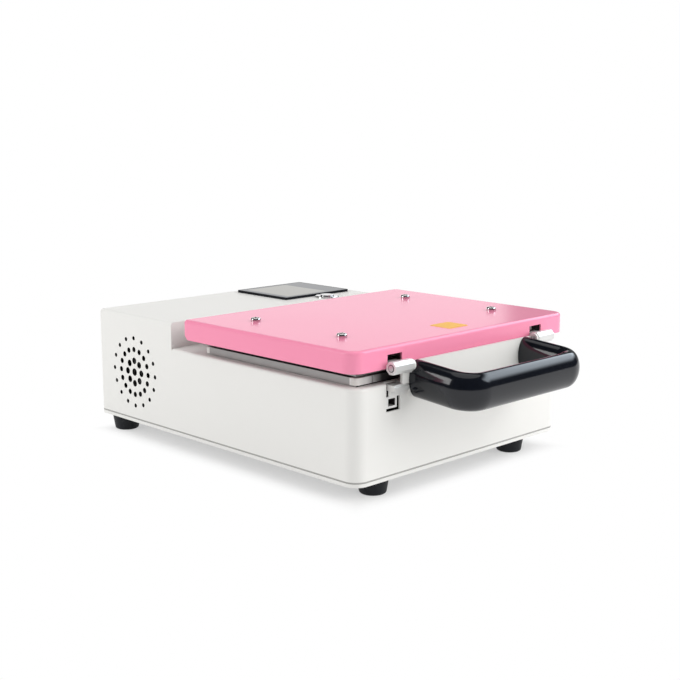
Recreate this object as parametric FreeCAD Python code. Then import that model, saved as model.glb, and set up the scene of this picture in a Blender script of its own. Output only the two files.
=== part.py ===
import FreeCAD, Part
import math
import os

# Bench-top clamshell reflow oven: white sheet-steel case, pink lid, black grip with a latch.
# Millimetres, +Z up, front towards -Y. Pieces are drawn from the case's front lower edge
# (y = 0 at the front wall, z = 0 on the base plate) and set on their feet at the end.

V = FreeCAD.Vector
ALONG_X = V(1, 0, 0)
ALONG_Y = V(0, 1, 0)
ALONG_Z = V(0, 0, 1)

# Case: one folded and welded sheet-steel shell, low deck in front, tall housing behind.
CASE_WIDTH = 220.0
HOUSING_DEPTH = 96.5
HOUSING_HEIGHT = 82.8
DECK_HEIGHT = 63.0
STEP_BEHIND_LID = 21.0
SHEET = 1.2
FRONT_CORNER = 10.0
REAR_CORNER = 3.0
HOUSING_BEND = 3.0
DECK_BEND = 2.0
FLANGE_WIDTH = 12.0
FLANGE_FROM_FRONT = 14.0
FLANGE_FROM_REAR = 30.0

# Air inlet: a centre hole and three rings of holes in front of the fan.
GRILLE_FROM_REAR = 47.4
GRILLE_HEIGHT = 37.5
GRILLE_RING_STEP = 9.0
GRILLE_COUNTS = (8, 16, 16)
GRILLE_CENTRE_HOLE = 6.0
GRILLE_HOLES = (5.3, 4.3, 3.3)
GRILLE_TURN = 0.0

# Air outlet: upright slots in the rear wall.
VENT_COUNT = 8
VENT_PITCH = 7.0
VENT_WIDTH = 3.0
VENT_LENGTH = 32.0
VENT_FROM_LEFT = 40.0
VENT_HEIGHT = 36.0

# Base plate and feet.
BASE_THICKNESS = 3.0
BASE_SCREW_FROM_SIDE = 6.5
BASE_SCREW_FROM_FRONT = 36.0
BASE_SCREW_FROM_REAR = 46.0
BASE_SEAM_CHAMFER = 0.5
FOOT_HEIGHT = 13.5
FOOT_TOP_DIAMETER = 23.0
FOOT_FLOOR_DIAMETER = 18.6
FOOT_ROUND = 2.0
FOOT_POCKET_DIAMETER = 9.0
FOOT_POCKET_DEPTH = 6.0
FRONT_FOOT_FROM_SIDE = 35.0
FRONT_FOOT_FROM_EDGE = 18.5
REAR_FOOT_FROM_SIDE = 15.0
REAR_FOOT_FROM_EDGE = 12.6

# Screws, nuts and the clearances between pieces.
M3 = 3.0
M4 = 4.0
M5 = 5.0
HOLE_CLEARANCE = 0.2
RUNNING_CLEARANCE = 0.05
PAN_HEAD_DIAMETER = 7.6
PAN_HEAD_HEIGHT = 2.7
SMALL_HEAD_DIAMETER = 5.5
SMALL_HEAD_HEIGHT = 1.7
NUT_ACROSS_FLATS = 7.0
NUT_HEIGHT = 3.2

# Heating chamber: tub let into the deck, rim and seal on top of it, platen inside.
RIM_FROM_SIDE = 6.0
RIM_FROM_FRONT = 6.0
RIM_FROM_LID_REAR = 12.5
RIM_BAR = 9.0
RIM_HEIGHT = 4.8
RIM_CORNER_PIECE = 5.0
RIM_CORNER_ROUND = 3.0
RIM_JOINT_FROM_CORNER = 15.3
RIM_JOINT_WIDTH = 0.8
SEAL_WIDTH = 2.4
SEAL_FROM_INSIDE = 0.8
SEAL_GROOVE = 1.2
SEAL_PROUD = 0.9
SEAL_GAP = 0.3
TUB_SHEET = 1.0
TUB_DEPTH = 28.0
TUB_CLEARANCE = 0.5
TUB_FLANGE_SETBACK = 1.0
PLATEN_GAP = 5.0
PLATEN_THICKNESS = 10.0
PLATEN_DROP = 3.8
STANDOFF_DIAMETER = 8.0
STANDOFF_INSET = 9.0
HEATER_INSET = 18.0
HEATER_THICKNESS = 3.0
INSULATION_INSET = 15.0
PROBE_DIAMETER = 3.0
PROBE_X = 20.0
PROBE_REACH = 20.0
PROBE_TAIL = 12.0

# Lid: folded sheet with skirts, and the heater pack that its four screws hold.
LID_SIDE_OVERHANG = 4.5
LID_DEPTH = 176.5
LID_OVERHANG = 2.0
LID_RISE = 10.6
LID_SKIRT = 14.7
LID_CORNER = 10.0
LID_REAR_CORNER = 3.0
LID_BEND = 2.4
LID_CHAMFER = 5.0
LID_NOTCH_WIDTH = 13.8
LID_NOTCH_HEIGHT = 9.2
LID_SCREW_FROM_SIDE = 29.5
LID_SCREW_FROM_FRONT = 45.0
LID_SCREW_FROM_REAR = 42.3
PAN_SETBACK = 1.0
PAN_SHEET = 1.0
PAN_HEIGHT = 12.0
PAD_INSET = 8.0
PAD_THICKNESS = 3.0
PACK_CLEARANCE = 0.5
CARRIER_THICKNESS = 1.5
CARRIER_LIP = 2.0
SPACER_DIAMETER = 9.0

# Hinges at the back of the lid.
HINGE_FROM_SIDE = 40.0
HINGE_BEHIND_LID = 9.5
HINGE_ABOVE_DECK = 16.5
HINGE_PIN = 4.0
HINGE_KNUCKLE_WIDTH = 13.6
HINGE_KNUCKLE_RADIUS = 4.6
HINGE_EAR = 4.0
HINGE_SIDE_GAP = 0.2
HINGE_BASE_DEPTH = 15.0
HINGE_BASE_THICKNESS = 2.5
HINGE_LEAF_THICKNESS = 2.5
HINGE_LEAF_HEIGHT = 8.5
HINGE_LEAF_BELOW_TOP = 2.0
HINGE_LEAF_WING = 7.0
HINGE_SCREW_PITCH = 8.0

# Latch: brackets on the lid, pins, handle plate, hooks, and keepers in the front wall.
LATCH_FROM_SIDE = 33.7
LATCH_PIN = 4.0
LATCH_PIN_AHEAD = 8.0
LATCH_PIN_BELOW_LID = 13.3
LATCH_BARREL = 8.4
LATCH_BARREL_INNER = 8.4
LATCH_BARREL_OUTER = 9.8
LATCH_TONGUE_WIDTH = 12.6
LATCH_TONGUE_RISE = 2.6
LATCH_TONGUE_LIFT = 1.0
LATCH_POST_DEPTH = 5.0
LATCH_POST_SETBACK = 8.0
LATCH_LUG_WIDTH = 1.7
LATCH_LUG_DIAMETER = 7.4
LATCH_SIDE_GAP = 0.2
LATCH_PIN_PROUD = 0.3
PLATE_AHEAD = 4.0
PLATE_THICKNESS = 2.0
PLATE_EAR_WIDTH = 7.4
PLATE_PANEL_GAP = 0.4
PLATE_BOTTOM = 53.5
PLATE_SHOULDER_GAP = 5.2
PLATE_EAR_BOTTOM = 62.3
PLATE_TOP_ABOVE_PIN = 1.5
NOTCH_WIDTH = 13.0
NOTCH_INSIDE_LATCH = 0.9
NOTCH_DEPTH = 19.2
NOTCH_INTO_DECK = 4.0
HOOK_FROM_NOTCH = 0.9
HOOK_INNER_GAP = 1.3
HOOK_BAR_HEIGHT = 4.1
HOOK_BAR_PROUD = 0.6
HOOK_HEEL_HEIGHT = 3.7
HOOK_HEEL_AHEAD = 2.9
HOOK_WALL_GAP = 0.8
HOOK_REACH = 3.2
HOOK_FACET = 1.5
KEEPER_SHEET = 1.5
KEEPER_TOP_GAP = 1.0
KEEPER_HEIGHT = 8.0
KEEPER_FROM_NOTCH = 1.6
KEEPER_TAIL = 13.0
KEEPER_BAR = 1.5
KEEPER_COLLAR = 4.0

# Grip: moulded U-shaped bar of oval section, arms sloping down to the front.
GRIP_ARM_FROM_SIDE = 51.2
GRIP_HALF_WIDTH = 7.9
GRIP_HALF_HEIGHT = 12.75
GRIP_HEIGHT = 64.3
GRIP_REACH = 44.8
GRIP_BEND = 13.4
GRIP_SLOPE = 4.75
GRIP_SCREW_DEPTH = 22.0
GRIP_SCREW_HEAD_DIAMETER = 8.5
GRIP_SCREW_HEAD_HEIGHT = 2.6

# Fan behind the grille.
FAN_SIZE = 60.0
FAN_DEPTH = 15.0
FAN_DUCT = 57.0
FAN_CORNER = 4.0
FAN_HOLE_PITCH = 50.0
FAN_MOTOR_DIAMETER = 24.0
FAN_MOTOR_DEPTH = 2.5
FAN_STRUT = 3.0
FAN_HUB_DIAMETER = 22.0
FAN_HUB_DEPTH = 9.5
FAN_END_GAP = 1.0
FAN_SHAFT = 3.0
FAN_BLADES = 7
FAN_BLADE_THICKNESS = 1.2
FAN_TIP_GAP = 1.0
FAN_BLADE_ROOT_TURN = 50.0
FAN_BLADE_TIP_TURN = 62.0

# Electronics on the base plate.
BOARD_DEPTH = 62.0
BOARD_THICKNESS = 1.6
BOARD_TO_FAN = 31.3
BOARD_TO_RELAY = 13.0
BOARD_FROM_REAR = 25.0
BOARD_STANDOFF = 8.0
BOARD_HOLE_INSET = 5.0
TERMINAL_LENGTH = 50.0
TERMINAL_DEPTH = 12.0
TERMINAL_HEIGHT = 11.0
TERMINAL_WAYS = 6
RELAY_WIDTH = 45.0
RELAY_DEPTH = 58.0
RELAY_HEIGHT = 23.0
RELAY_FROM_SIDE = 42.0
RELAY_FROM_REAR = 32.0
CAPACITOR_DIAMETER = 13.0
CAPACITOR_HEIGHT = 21.0

# Mains inlet in the rear wall.
INLET_FROM_SIDE = 40.0
INLET_HEIGHT = 26.0
INLET_FLANGE_WIDTH = 48.0
INLET_FLANGE_HEIGHT = 24.0
INLET_FLANGE_THICKNESS = 2.5
INLET_BODY_WIDTH = 27.0
INLET_BODY_HEIGHT = 20.0
INLET_BODY_DEPTH = 21.0
INLET_WALL = 1.4
INLET_RECESS_DEPTH = 16.0
INLET_RECESS_CHAMFER = 4.5
INLET_SCREW_PITCH = 40.0
INLET_CORNER = 4.0
BLADE_PITCH = 14.0
BLADE_RISE = 4.0
BLADE_DROP = 2.0
BLADE_WIDTH = 2.0
BLADE_HEIGHT = 4.0
BLADE_LENGTH = 13.0

# Display and push button on the housing.
DISPLAY_FROM_SIDE = 46.7
DISPLAY_WIDTH = 74.0
DISPLAY_FROM_REAR = 10.0
DISPLAY_BEHIND_BUTTON = 0.8
DISPLAY_FRAME = 0.9
DISPLAY_GLASS = 1.1
DISPLAY_EDGE = 1.3
DISPLAY_GLASS_GAP = 0.1
DISPLAY_CORNER = 1.5
MODULE_BORDER = 6.0
MODULE_CLEARANCE = 0.4
MODULE_HEIGHT = 9.0
MODULE_BOARD = 1.6
MODULE_BOARD_LIP = 3.0
BUTTON_FROM_STEP = 11.5
BUTTON_BARREL = 16.0
BUTTON_BEZEL = 20.4
BUTTON_BEZEL_HEIGHT = 1.5
BUTTON_BARREL_LENGTH = 20.0
BUTTON_CAP = 12.0
BUTTON_CAP_PROUD = 0.8
BUTTON_CAP_LENGTH = 9.0
BUTTON_STEM = 4.0
BUTTON_STEM_IN_BLOCK = 5.0
BUTTON_TRAVEL = 1.5
BUTTON_NUT_ACROSS_FLATS = 17.8
BUTTON_NUT_HEIGHT = 3.0
BUTTON_BLOCK_WIDTH = 12.0
BUTTON_BLOCK_HEIGHT = 14.0
BUTTON_CLEARANCE = 0.08

# Places worked out from the sizes above.
half_width = CASE_WIDTH / 2
lid_half = half_width + LID_SIDE_OVERHANG
lid_front = -LID_OVERHANG
lid_rear = LID_DEPTH - LID_OVERHANG
deck_depth = lid_rear + STEP_BEHIND_LID
case_depth = deck_depth + HOUSING_DEPTH
lid_bottom = DECK_HEIGHT + LID_RISE
lid_top = lid_bottom + LID_SKIRT
lid_inside = lid_top - SHEET
rim_half = half_width - RIM_FROM_SIDE
rim_front = RIM_FROM_FRONT
rim_rear = lid_rear - RIM_FROM_LID_REAR
rim_bottom = DECK_HEIGHT + TUB_SHEET
rim_top = rim_bottom + RIM_HEIGHT
tub_half = rim_half - RIM_BAR
tub_front = rim_front + RIM_BAR
tub_rear = rim_rear - RIM_BAR
tub_floor = rim_bottom - TUB_DEPTH
platen_half = tub_half - TUB_SHEET - PLATEN_GAP
platen_front = tub_front + TUB_SHEET + PLATEN_GAP
platen_rear = tub_rear - TUB_SHEET - PLATEN_GAP
platen_top = rim_top - PLATEN_DROP
platen_bottom = platen_top - PLATEN_THICKNESS
pan_bottom = rim_top + SEAL_PROUD + SEAL_GAP
pan_top = pan_bottom + PAN_HEIGHT
carrier_top = pan_top + CARRIER_THICKNESS
hinge_x = half_width - HINGE_FROM_SIDE
hinge_y = lid_rear + HINGE_BEHIND_LID
hinge_z = DECK_HEIGHT + HINGE_ABOVE_DECK
latch_x = half_width - LATCH_FROM_SIDE
pin_y = -LATCH_PIN_AHEAD
pin_z = lid_top - LATCH_PIN_BELOW_LID
plate_back = -PLATE_AHEAD
plate_front = plate_back - PLATE_THICKNESS
tongue_inner = latch_x - LATCH_TONGUE_WIDTH / 2
barrel_inner = latch_x - LATCH_BARREL_INNER
barrel_outer = latch_x + LATCH_BARREL_OUTER
lug_outer = barrel_inner - LATCH_SIDE_GAP
lug_inner = lug_outer - LATCH_LUG_WIDTH
panel_half = lug_inner - PLATE_PANEL_GAP
notch_x = latch_x - NOTCH_INSIDE_LATCH
notch_inner = notch_x - NOTCH_WIDTH / 2
notch_outer = notch_x + NOTCH_WIDTH / 2
hook_inner = panel_half + HOOK_INNER_GAP
hook_outer = notch_outer - HOOK_FROM_NOTCH
hook_top = PLATE_EAR_BOTTOM
hook_ledge = hook_top - HOOK_BAR_HEIGHT
hook_bottom = hook_ledge - HOOK_HEEL_HEIGHT
grip_arm_x = half_width - GRIP_ARM_FROM_SIDE
notch_bottom = DECK_HEIGHT - NOTCH_DEPTH
fan_y = case_depth - GRILLE_FROM_REAR
fan_z = GRILLE_HEIGHT
fan_outer = -half_width + SHEET
fan_inner = fan_outer + FAN_DEPTH
display_x = half_width - DISPLAY_FROM_SIDE
button_y = deck_depth + BUTTON_FROM_STEP
display_front = button_y + BUTTON_BEZEL / 2 + DISPLAY_BEHIND_BUTTON
display_rear = case_depth - DISPLAY_FROM_REAR
inlet_x = half_width - INLET_FROM_SIDE
relay_x = half_width - RELAY_FROM_SIDE
board_left = fan_inner + BOARD_TO_FAN
board_right = relay_x - RELAY_WIDTH / 2 - BOARD_TO_RELAY
board_x = (board_left + board_right) / 2
board_rear = case_depth - BOARD_FROM_REAR
board_front = board_rear - BOARD_DEPTH
board_top = BOARD_STANDOFF + BOARD_THICKNESS
relay_rear = case_depth - RELAY_FROM_REAR
lid_screw_places = [
    (side * (half_width - LID_SCREW_FROM_SIDE), y)
    for side in (-1, 1)
    for y in (lid_front + LID_SCREW_FROM_FRONT, lid_rear - LID_SCREW_FROM_REAR)
]
foot_places = [
    (-half_width + FRONT_FOOT_FROM_SIDE, FRONT_FOOT_FROM_EDGE),
    (half_width - FRONT_FOOT_FROM_SIDE, FRONT_FOOT_FROM_EDGE),
    (-half_width + REAR_FOOT_FROM_SIDE, case_depth - REAR_FOOT_FROM_EDGE),
    (half_width - REAR_FOOT_FROM_SIDE, case_depth - REAR_FOOT_FROM_EDGE),
]
base_screw_places = [
    (side * (half_width - BASE_SCREW_FROM_SIDE), y)
    for side in (-1, 1)
    for y in (
        BASE_SCREW_FROM_FRONT,
        (BASE_SCREW_FROM_FRONT + case_depth - BASE_SCREW_FROM_REAR) / 2,
        case_depth - BASE_SCREW_FROM_REAR,
    )
]
hinge_screw_offsets = (-HINGE_SCREW_PITCH / 2, HINGE_SCREW_PITCH / 2)
fan_hole_offsets = [
    (a * FAN_HOLE_PITCH / 2, b * FAN_HOLE_PITCH / 2)
    for a in (-1, 1)
    for b in (-1, 1)
]

# The grip's foremost point and the inlet's flange set the whole outline, front and back.
slope = math.radians(GRIP_SLOPE)
grip_nose = math.hypot(GRIP_HALF_WIDTH * math.cos(slope), GRIP_HALF_HEIGHT * math.sin(slope))
outline_front = plate_front - GRIP_REACH * math.cos(slope) - grip_nose
outline_rear = case_depth + INLET_FLANGE_THICKNESS
SET_DOWN = V(0, -(outline_front + outline_rear) / 2, FOOT_HEIGHT + BASE_THICKNESS)


# Drawing helpers.
def box(x0, x1, y0, y1, z0, z1):
    return Part.makeBox(x1 - x0, y1 - y0, z1 - z0, V(x0, y0, z0))


def rod(diameter, length, start, direction=ALONG_Z):
    return Part.makeCylinder(diameter / 2, length, start, direction)


def tube(outer, inner, length, start, direction=ALONG_Z):
    return rod(outer, length, start, direction).cut(rod(inner, length, start, direction))


def rounded_plan(half, front, rear, front_corner, rear_corner, z):
    """Flat rounded rectangle, symmetric in x, with its own corner radius front and rear."""
    diagonal = math.sqrt(0.5)
    edges = []
    points = []
    for x_sign, y_sign in ((-1, -1), (1, -1), (1, 1), (-1, 1)):
        radius = front_corner if y_sign < 0 else rear_corner
        x = x_sign * half
        y = front if y_sign < 0 else rear
        centre = V(x - x_sign * radius, y - y_sign * radius, z)
        first = V(x, centre.y, z)
        last = V(centre.x, y, z)
        middle = centre + V(x_sign * radius * diagonal, y_sign * radius * diagonal, 0)
        if x_sign * y_sign < 0:
            first, last = last, first
        points.append((first, middle, last))
    for number, (first, middle, last) in enumerate(points):
        edges.append(Part.Arc(first, middle, last).toShape())
        following = points[(number + 1) % len(points)][0]
        edges.append(Part.makeLine(last, following))
    return Part.Face(Part.Wire(edges))


def plan_block(half, front, rear, front_corner, rear_corner, z0, z1):
    return rounded_plan(half, front, rear, front_corner, rear_corner, z0).extrude(V(0, 0, z1 - z0))


def outline_along_x(points, x0, x1):
    """Block with a drawn side view, given as (y, z) corners."""
    corners = [V(x0, y, z) for y, z in points]
    face = Part.Face(Part.makePolygon(corners + corners[:1]))
    return face.extrude(V(x1 - x0, 0, 0))


def outline_along_y(points, y0, y1):
    """Block with a drawn front view, given as (x, z) corners."""
    corners = [V(x, y0, z) for x, z in points]
    face = Part.Face(Part.makePolygon(corners + corners[:1]))
    return face.extrude(V(0, y1 - y0, 0))


def round_edges(shape, radius, keep):
    """Rounds the edges that the keep test picks by their bounding box."""
    edges = [edge for edge in shape.Edges if keep(edge.BoundBox)]
    return shape.makeFillet(radius, edges)


def level_edges(z):
    return lambda bounds: abs(bounds.ZMin - z) < 0.01 and abs(bounds.ZMax - z) < 0.01


def mirrored(shape):
    return shape.mirror(V(0, 0, 0), ALONG_X)


def hexagon(across_flats, height, start, direction=ALONG_Z):
    """Hexagonal block standing on its start point."""
    radius = across_flats / math.sqrt(3)
    corners = [
        V(radius * math.cos(math.radians(60 * n)), radius * math.sin(math.radians(60 * n)), 0)
        for n in range(6)
    ]
    block = Part.Face(Part.makePolygon(corners + corners[:1])).extrude(V(0, 0, height))
    block.Placement = FreeCAD.Placement(start, FreeCAD.Rotation(ALONG_Z, direction))
    return block


def nut(across_flats, bore, height, start, direction=ALONG_Z):
    return hexagon(across_flats, height, start, direction).cut(rod(bore, height, start, direction))


def screw(head_diameter, head_height, shank_diameter, shank_length, seat, outward):
    """Pan-head screw whose head stands on the seat point and whose shank goes the other way."""
    head = rod(head_diameter, head_height, seat, outward)
    crown = seat + outward * head_height
    rims = [
        edge for edge in head.Edges
        if len(edge.Vertexes) == 1 and (edge.Vertexes[0].Point - crown).dot(outward) > -0.01
    ]
    head = head.makeChamfer(head_height * 0.35, rims)
    return head.fuse(rod(shank_diameter, shank_length, seat, outward * -1)).removeSplitter()


def group(shapes):
    return Part.makeCompound(shapes)


# Case and base.
def case_shell():
    def blocks(inset, deck_bend, housing_bend):
        half = half_width - inset
        front_corner = max(FRONT_CORNER - inset, 0.5)
        rear_corner = max(REAR_CORNER - inset, 0.5)
        deck_z = DECK_HEIGHT - inset
        housing_z = HOUSING_HEIGHT - inset
        rear = case_depth - inset
        low = plan_block(half, inset, rear, front_corner, rear_corner, 0, deck_z)
        low = round_edges(low, deck_bend, level_edges(deck_z))
        tall = plan_block(half, inset, rear, front_corner, rear_corner, 0, housing_z)
        tall = round_edges(tall, housing_bend, level_edges(housing_z))
        ahead = box(-half - 1, half + 1, inset - 1, deck_depth + inset, -1, housing_z + 1)
        return low.fuse(tall.cut(ahead)).removeSplitter()

    outer = blocks(0, DECK_BEND, HOUSING_BEND)
    inner = blocks(SHEET, max(DECK_BEND - SHEET, 0.3), max(HOUSING_BEND - SHEET, 0.3))
    shell = outer.cut(inner)
    for side in (-1, 1):
        wall = half_width - SHEET
        flange = box(wall - FLANGE_WIDTH, wall, FLANGE_FROM_FRONT, case_depth - FLANGE_FROM_REAR, 0, SHEET)
        shell = shell.fuse(flange if side > 0 else mirrored(flange))
    return shell.cut(group(case_openings())).removeSplitter()


def case_openings():
    through = SHEET * 4
    cuts = []
    # Chamber opening in the deck.
    edge = TUB_CLEARANCE
    cuts.append(box(-tub_half - edge, tub_half + edge, tub_front - edge, tub_rear + edge,
                    DECK_HEIGHT - through, DECK_HEIGHT + 1))
    # Air inlet holes, each ring turned alike.
    start_x = -half_width - 1
    cuts.append(rod(GRILLE_CENTRE_HOLE, through, V(start_x, fan_y, fan_z), ALONG_X))
    for ring, (count, diameter) in enumerate(zip(GRILLE_COUNTS, GRILLE_HOLES), start=1):
        for number in range(count):
            turn = math.radians(GRILLE_TURN + 360 * number / count)
            y = fan_y + ring * GRILLE_RING_STEP * math.sin(turn)
            z = fan_z + ring * GRILLE_RING_STEP * math.cos(turn)
            cuts.append(rod(diameter, through, V(start_x, y, z), ALONG_X))
    # Air outlet slots.
    for number in range(VENT_COUNT):
        x = -half_width + VENT_FROM_LEFT + number * VENT_PITCH
        low = VENT_HEIGHT - VENT_LENGTH / 2 + VENT_WIDTH / 2
        high = VENT_HEIGHT + VENT_LENGTH / 2 - VENT_WIDTH / 2
        rear = case_depth - through + 1
        cuts.append(box(x - VENT_WIDTH / 2, x + VENT_WIDTH / 2, rear, rear + through, low, high))
        for z in (low, high):
            cuts.append(rod(VENT_WIDTH, through, V(x, rear, z), ALONG_Y))
    # Latch notches in the front wall, open at the deck's edge.
    for x0, x1 in ((notch_inner, notch_outer), (-notch_outer, -notch_inner)):
        cuts.append(box(x0, x1, -1, NOTCH_INTO_DECK, notch_bottom, DECK_HEIGHT + 1))
    # Mains inlet, its screws, the display module and the push button.
    gap = HOLE_CLEARANCE
    cuts.append(box(inlet_x - INLET_BODY_WIDTH / 2 - gap, inlet_x + INLET_BODY_WIDTH / 2 + gap,
                    case_depth - through + 1, case_depth + 1,
                    INLET_HEIGHT - INLET_BODY_HEIGHT / 2 - gap, INLET_HEIGHT + INLET_BODY_HEIGHT / 2 + gap))
    for side in (-1, 1):
        x = inlet_x + side * INLET_SCREW_PITCH / 2
        cuts.append(rod(M3 + gap, through, V(x, case_depth - through + 1, INLET_HEIGHT), ALONG_Y))
    cuts.append(box(display_x - DISPLAY_WIDTH / 2 + MODULE_BORDER, display_x + DISPLAY_WIDTH / 2 - MODULE_BORDER,
                    display_front + MODULE_BORDER, display_rear - MODULE_BORDER,
                    HOUSING_HEIGHT - through, HOUSING_HEIGHT + 1))
    cuts.append(rod(BUTTON_BARREL + gap, through, V(display_x, button_y, HOUSING_HEIGHT - through + 1)))
    # Screw holes for the hinges and the base plate.
    for side in (-1, 1):
        for offset in hinge_screw_offsets:
            place = V(side * hinge_x, hinge_y + offset, DECK_HEIGHT - through + 1)
            cuts.append(rod(M3 + gap, through, place))
    for x, y in base_screw_places:
        cuts.append(rod(M3 + gap, through, V(x, y, -1)))
    return cuts


def base_plate():
    plate = plan_block(half_width, 0, case_depth, FRONT_CORNER, REAR_CORNER, -BASE_THICKNESS, 0)
    seam = [edge for edge in plate.Edges if level_edges(0)(edge.BoundBox)]
    plate = plate.makeChamfer(BASE_SEAM_CHAMFER, seam)
    holes = [rod(M3 + HOLE_CLEARANCE, BASE_THICKNESS, V(x, y, -BASE_THICKNESS)) for x, y in base_screw_places]
    for x, y in foot_places:
        holes.append(rod(M4 + HOLE_CLEARANCE, BASE_THICKNESS, V(x, y, -BASE_THICKNESS)))
    return plate.cut(group(holes))


def foot(x, y):
    """Tapered rubber foot, turned from its half section, with a pocket for the screw head."""
    floor = -BASE_THICKNESS - FOOT_HEIGHT
    top = -BASE_THICKNESS
    cone = Part.makeCone(FOOT_FLOOR_DIAMETER / 2, FOOT_TOP_DIAMETER / 2, FOOT_HEIGHT, V(x, y, floor))
    cone = round_edges(cone, FOOT_ROUND, level_edges(floor))
    pocket = rod(FOOT_POCKET_DIAMETER, FOOT_POCKET_DEPTH, V(x, y, floor))
    hole = rod(M4 + HOLE_CLEARANCE, top - floor, V(x, y, floor))
    return cone.cut(pocket.fuse(hole))


def rubber_feet():
    return group([foot(x, y) for x, y in foot_places])


def foot_screws():
    seat = -BASE_THICKNESS - FOOT_HEIGHT + FOOT_POCKET_DEPTH
    length = -seat + NUT_HEIGHT
    return group([
        screw(PAN_HEAD_DIAMETER, PAN_HEAD_HEIGHT, M4, length, V(x, y, seat), ALONG_Z * -1)
        for x, y in foot_places
    ])


def foot_nuts():
    bore = M4 + HOLE_CLEARANCE
    return group([nut(NUT_ACROSS_FLATS, bore, NUT_HEIGHT, V(x, y, 0)) for x, y in foot_places])


def base_screws():
    length = BASE_THICKNESS + SHEET
    return group([
        screw(SMALL_HEAD_DIAMETER, SMALL_HEAD_HEIGHT, M3, length, V(x, y, -BASE_THICKNESS), ALONG_Z * -1)
        for x, y in base_screw_places
    ])


# Heating chamber in the deck.
def ring_plan(half, front, rear, bar, z0, z1):
    outer = box(-half, half, front, rear, z0, z1)
    return outer.cut(box(-half + bar, half - bar, front + bar, rear - bar, z0, z1))


def chamber_tub():
    flange_half = rim_half - TUB_FLANGE_SETBACK
    flange = box(-flange_half, flange_half, rim_front + TUB_FLANGE_SETBACK, rim_rear - TUB_FLANGE_SETBACK,
                 DECK_HEIGHT, rim_bottom)
    body = box(-tub_half, tub_half, tub_front, tub_rear, tub_floor, rim_bottom)
    hollow = box(-tub_half + TUB_SHEET, tub_half - TUB_SHEET, tub_front + TUB_SHEET, tub_rear - TUB_SHEET,
                 tub_floor + TUB_SHEET, rim_bottom)
    probe_hole = rod(PROBE_DIAMETER + 2 * HOLE_CLEARANCE, PROBE_TAIL, probe_place(tub_rear - TUB_SHEET * 2), ALONG_Y)
    return flange.fuse(body).cut(hollow.fuse(probe_hole)).removeSplitter()


def chamber_rim():
    rim = ring_plan(rim_half, rim_front, rim_rear, RIM_BAR, rim_bottom, rim_top)
    rim = rim.cut(seal_ring(rim_top - SEAL_GROOVE, rim_top))
    joint = rim_half - RIM_JOINT_FROM_CORNER
    slit = box(joint, joint + RIM_JOINT_WIDTH, rim_front, rim_front + RIM_JOINT_WIDTH, rim_bottom, rim_top)
    rim = rim.cut(group([slit, mirrored(slit)]))
    return rim.cut(group([box(*place, rim_bottom, rim_top) for place in rim_corners()]))


def rim_corners():
    """Square places at the rim's four outer corners, as x0, x1, y0, y1."""
    size = RIM_CORNER_PIECE
    places = []
    for y0 in (rim_front, rim_rear - size):
        places.append((-rim_half, -rim_half + size, y0, y0 + size))
        places.append((rim_half - size, rim_half, y0, y0 + size))
    return places


def rim_corner_pieces():
    """White silicone blocks that close the rim's corners, rounded on the outside."""
    pieces = []
    for x0, x1, y0, y1 in rim_corners():
        outer_x = x0 if x0 < 0 else x1
        outer_y = y0 if y0 == rim_front else y1
        block = box(x0, x1, y0, y1, rim_bottom, rim_top)
        pieces.append(round_edges(block, RIM_CORNER_ROUND, lambda bounds: (
            abs(bounds.XMin - outer_x) < 0.01 and abs(bounds.XMax - outer_x) < 0.01
            and abs(bounds.YMin - outer_y) < 0.01 and abs(bounds.YMax - outer_y) < 0.01)))
    return group(pieces)


def seal_ring(z0, z1):
    edge = RIM_BAR - SEAL_FROM_INSIDE - SEAL_WIDTH
    return ring_plan(rim_half - edge, rim_front + edge, rim_rear - edge, SEAL_WIDTH, z0, z1)


def rim_seal():
    top = rim_top + SEAL_PROUD
    seal = seal_ring(rim_top - SEAL_GROOVE, top)
    return round_edges(seal, min(SEAL_PROUD, SEAL_WIDTH) * 0.5, level_edges(top))


def platen_corner_places():
    inset = STANDOFF_INSET
    return [
        (side * (platen_half - inset), y)
        for side in (-1, 1)
        for y in (platen_front + inset, platen_rear - inset)
    ]


def probe_place(y):
    return V(PROBE_X, y, platen_top - PLATEN_THICKNESS / 2)


def heated_platen():
    plate = box(-platen_half, platen_half, platen_front, platen_rear, platen_bottom, platen_top)
    plate = round_edges(plate, 1.0, level_edges(platen_top))
    bore = rod(PROBE_DIAMETER + 2 * RUNNING_CLEARANCE, PROBE_REACH, probe_place(platen_rear - PROBE_REACH), ALONG_Y)
    return plate.cut(bore)


def platen_standoffs():
    floor = tub_floor + TUB_SHEET
    return group([
        rod(STANDOFF_DIAMETER, platen_bottom - floor, V(x, y, floor)) for x, y in platen_corner_places()
    ])


def lower_heater():
    inset = HEATER_INSET
    return box(-platen_half + inset, platen_half - inset, platen_front + inset, platen_rear - inset,
               platen_bottom - HEATER_THICKNESS, platen_bottom)


def lower_insulation():
    inset = INSULATION_INSET
    block = box(-tub_half + inset, tub_half - inset, tub_front + inset, tub_rear - inset, 0, tub_floor)
    return round_edges(block, 3.0, lambda bounds: bounds.ZLength > 1)


def thermocouple_probe():
    start = platen_rear - PROBE_REACH
    return rod(PROBE_DIAMETER, tub_rear + PROBE_TAIL - start, probe_place(start), ALONG_Y)


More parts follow.
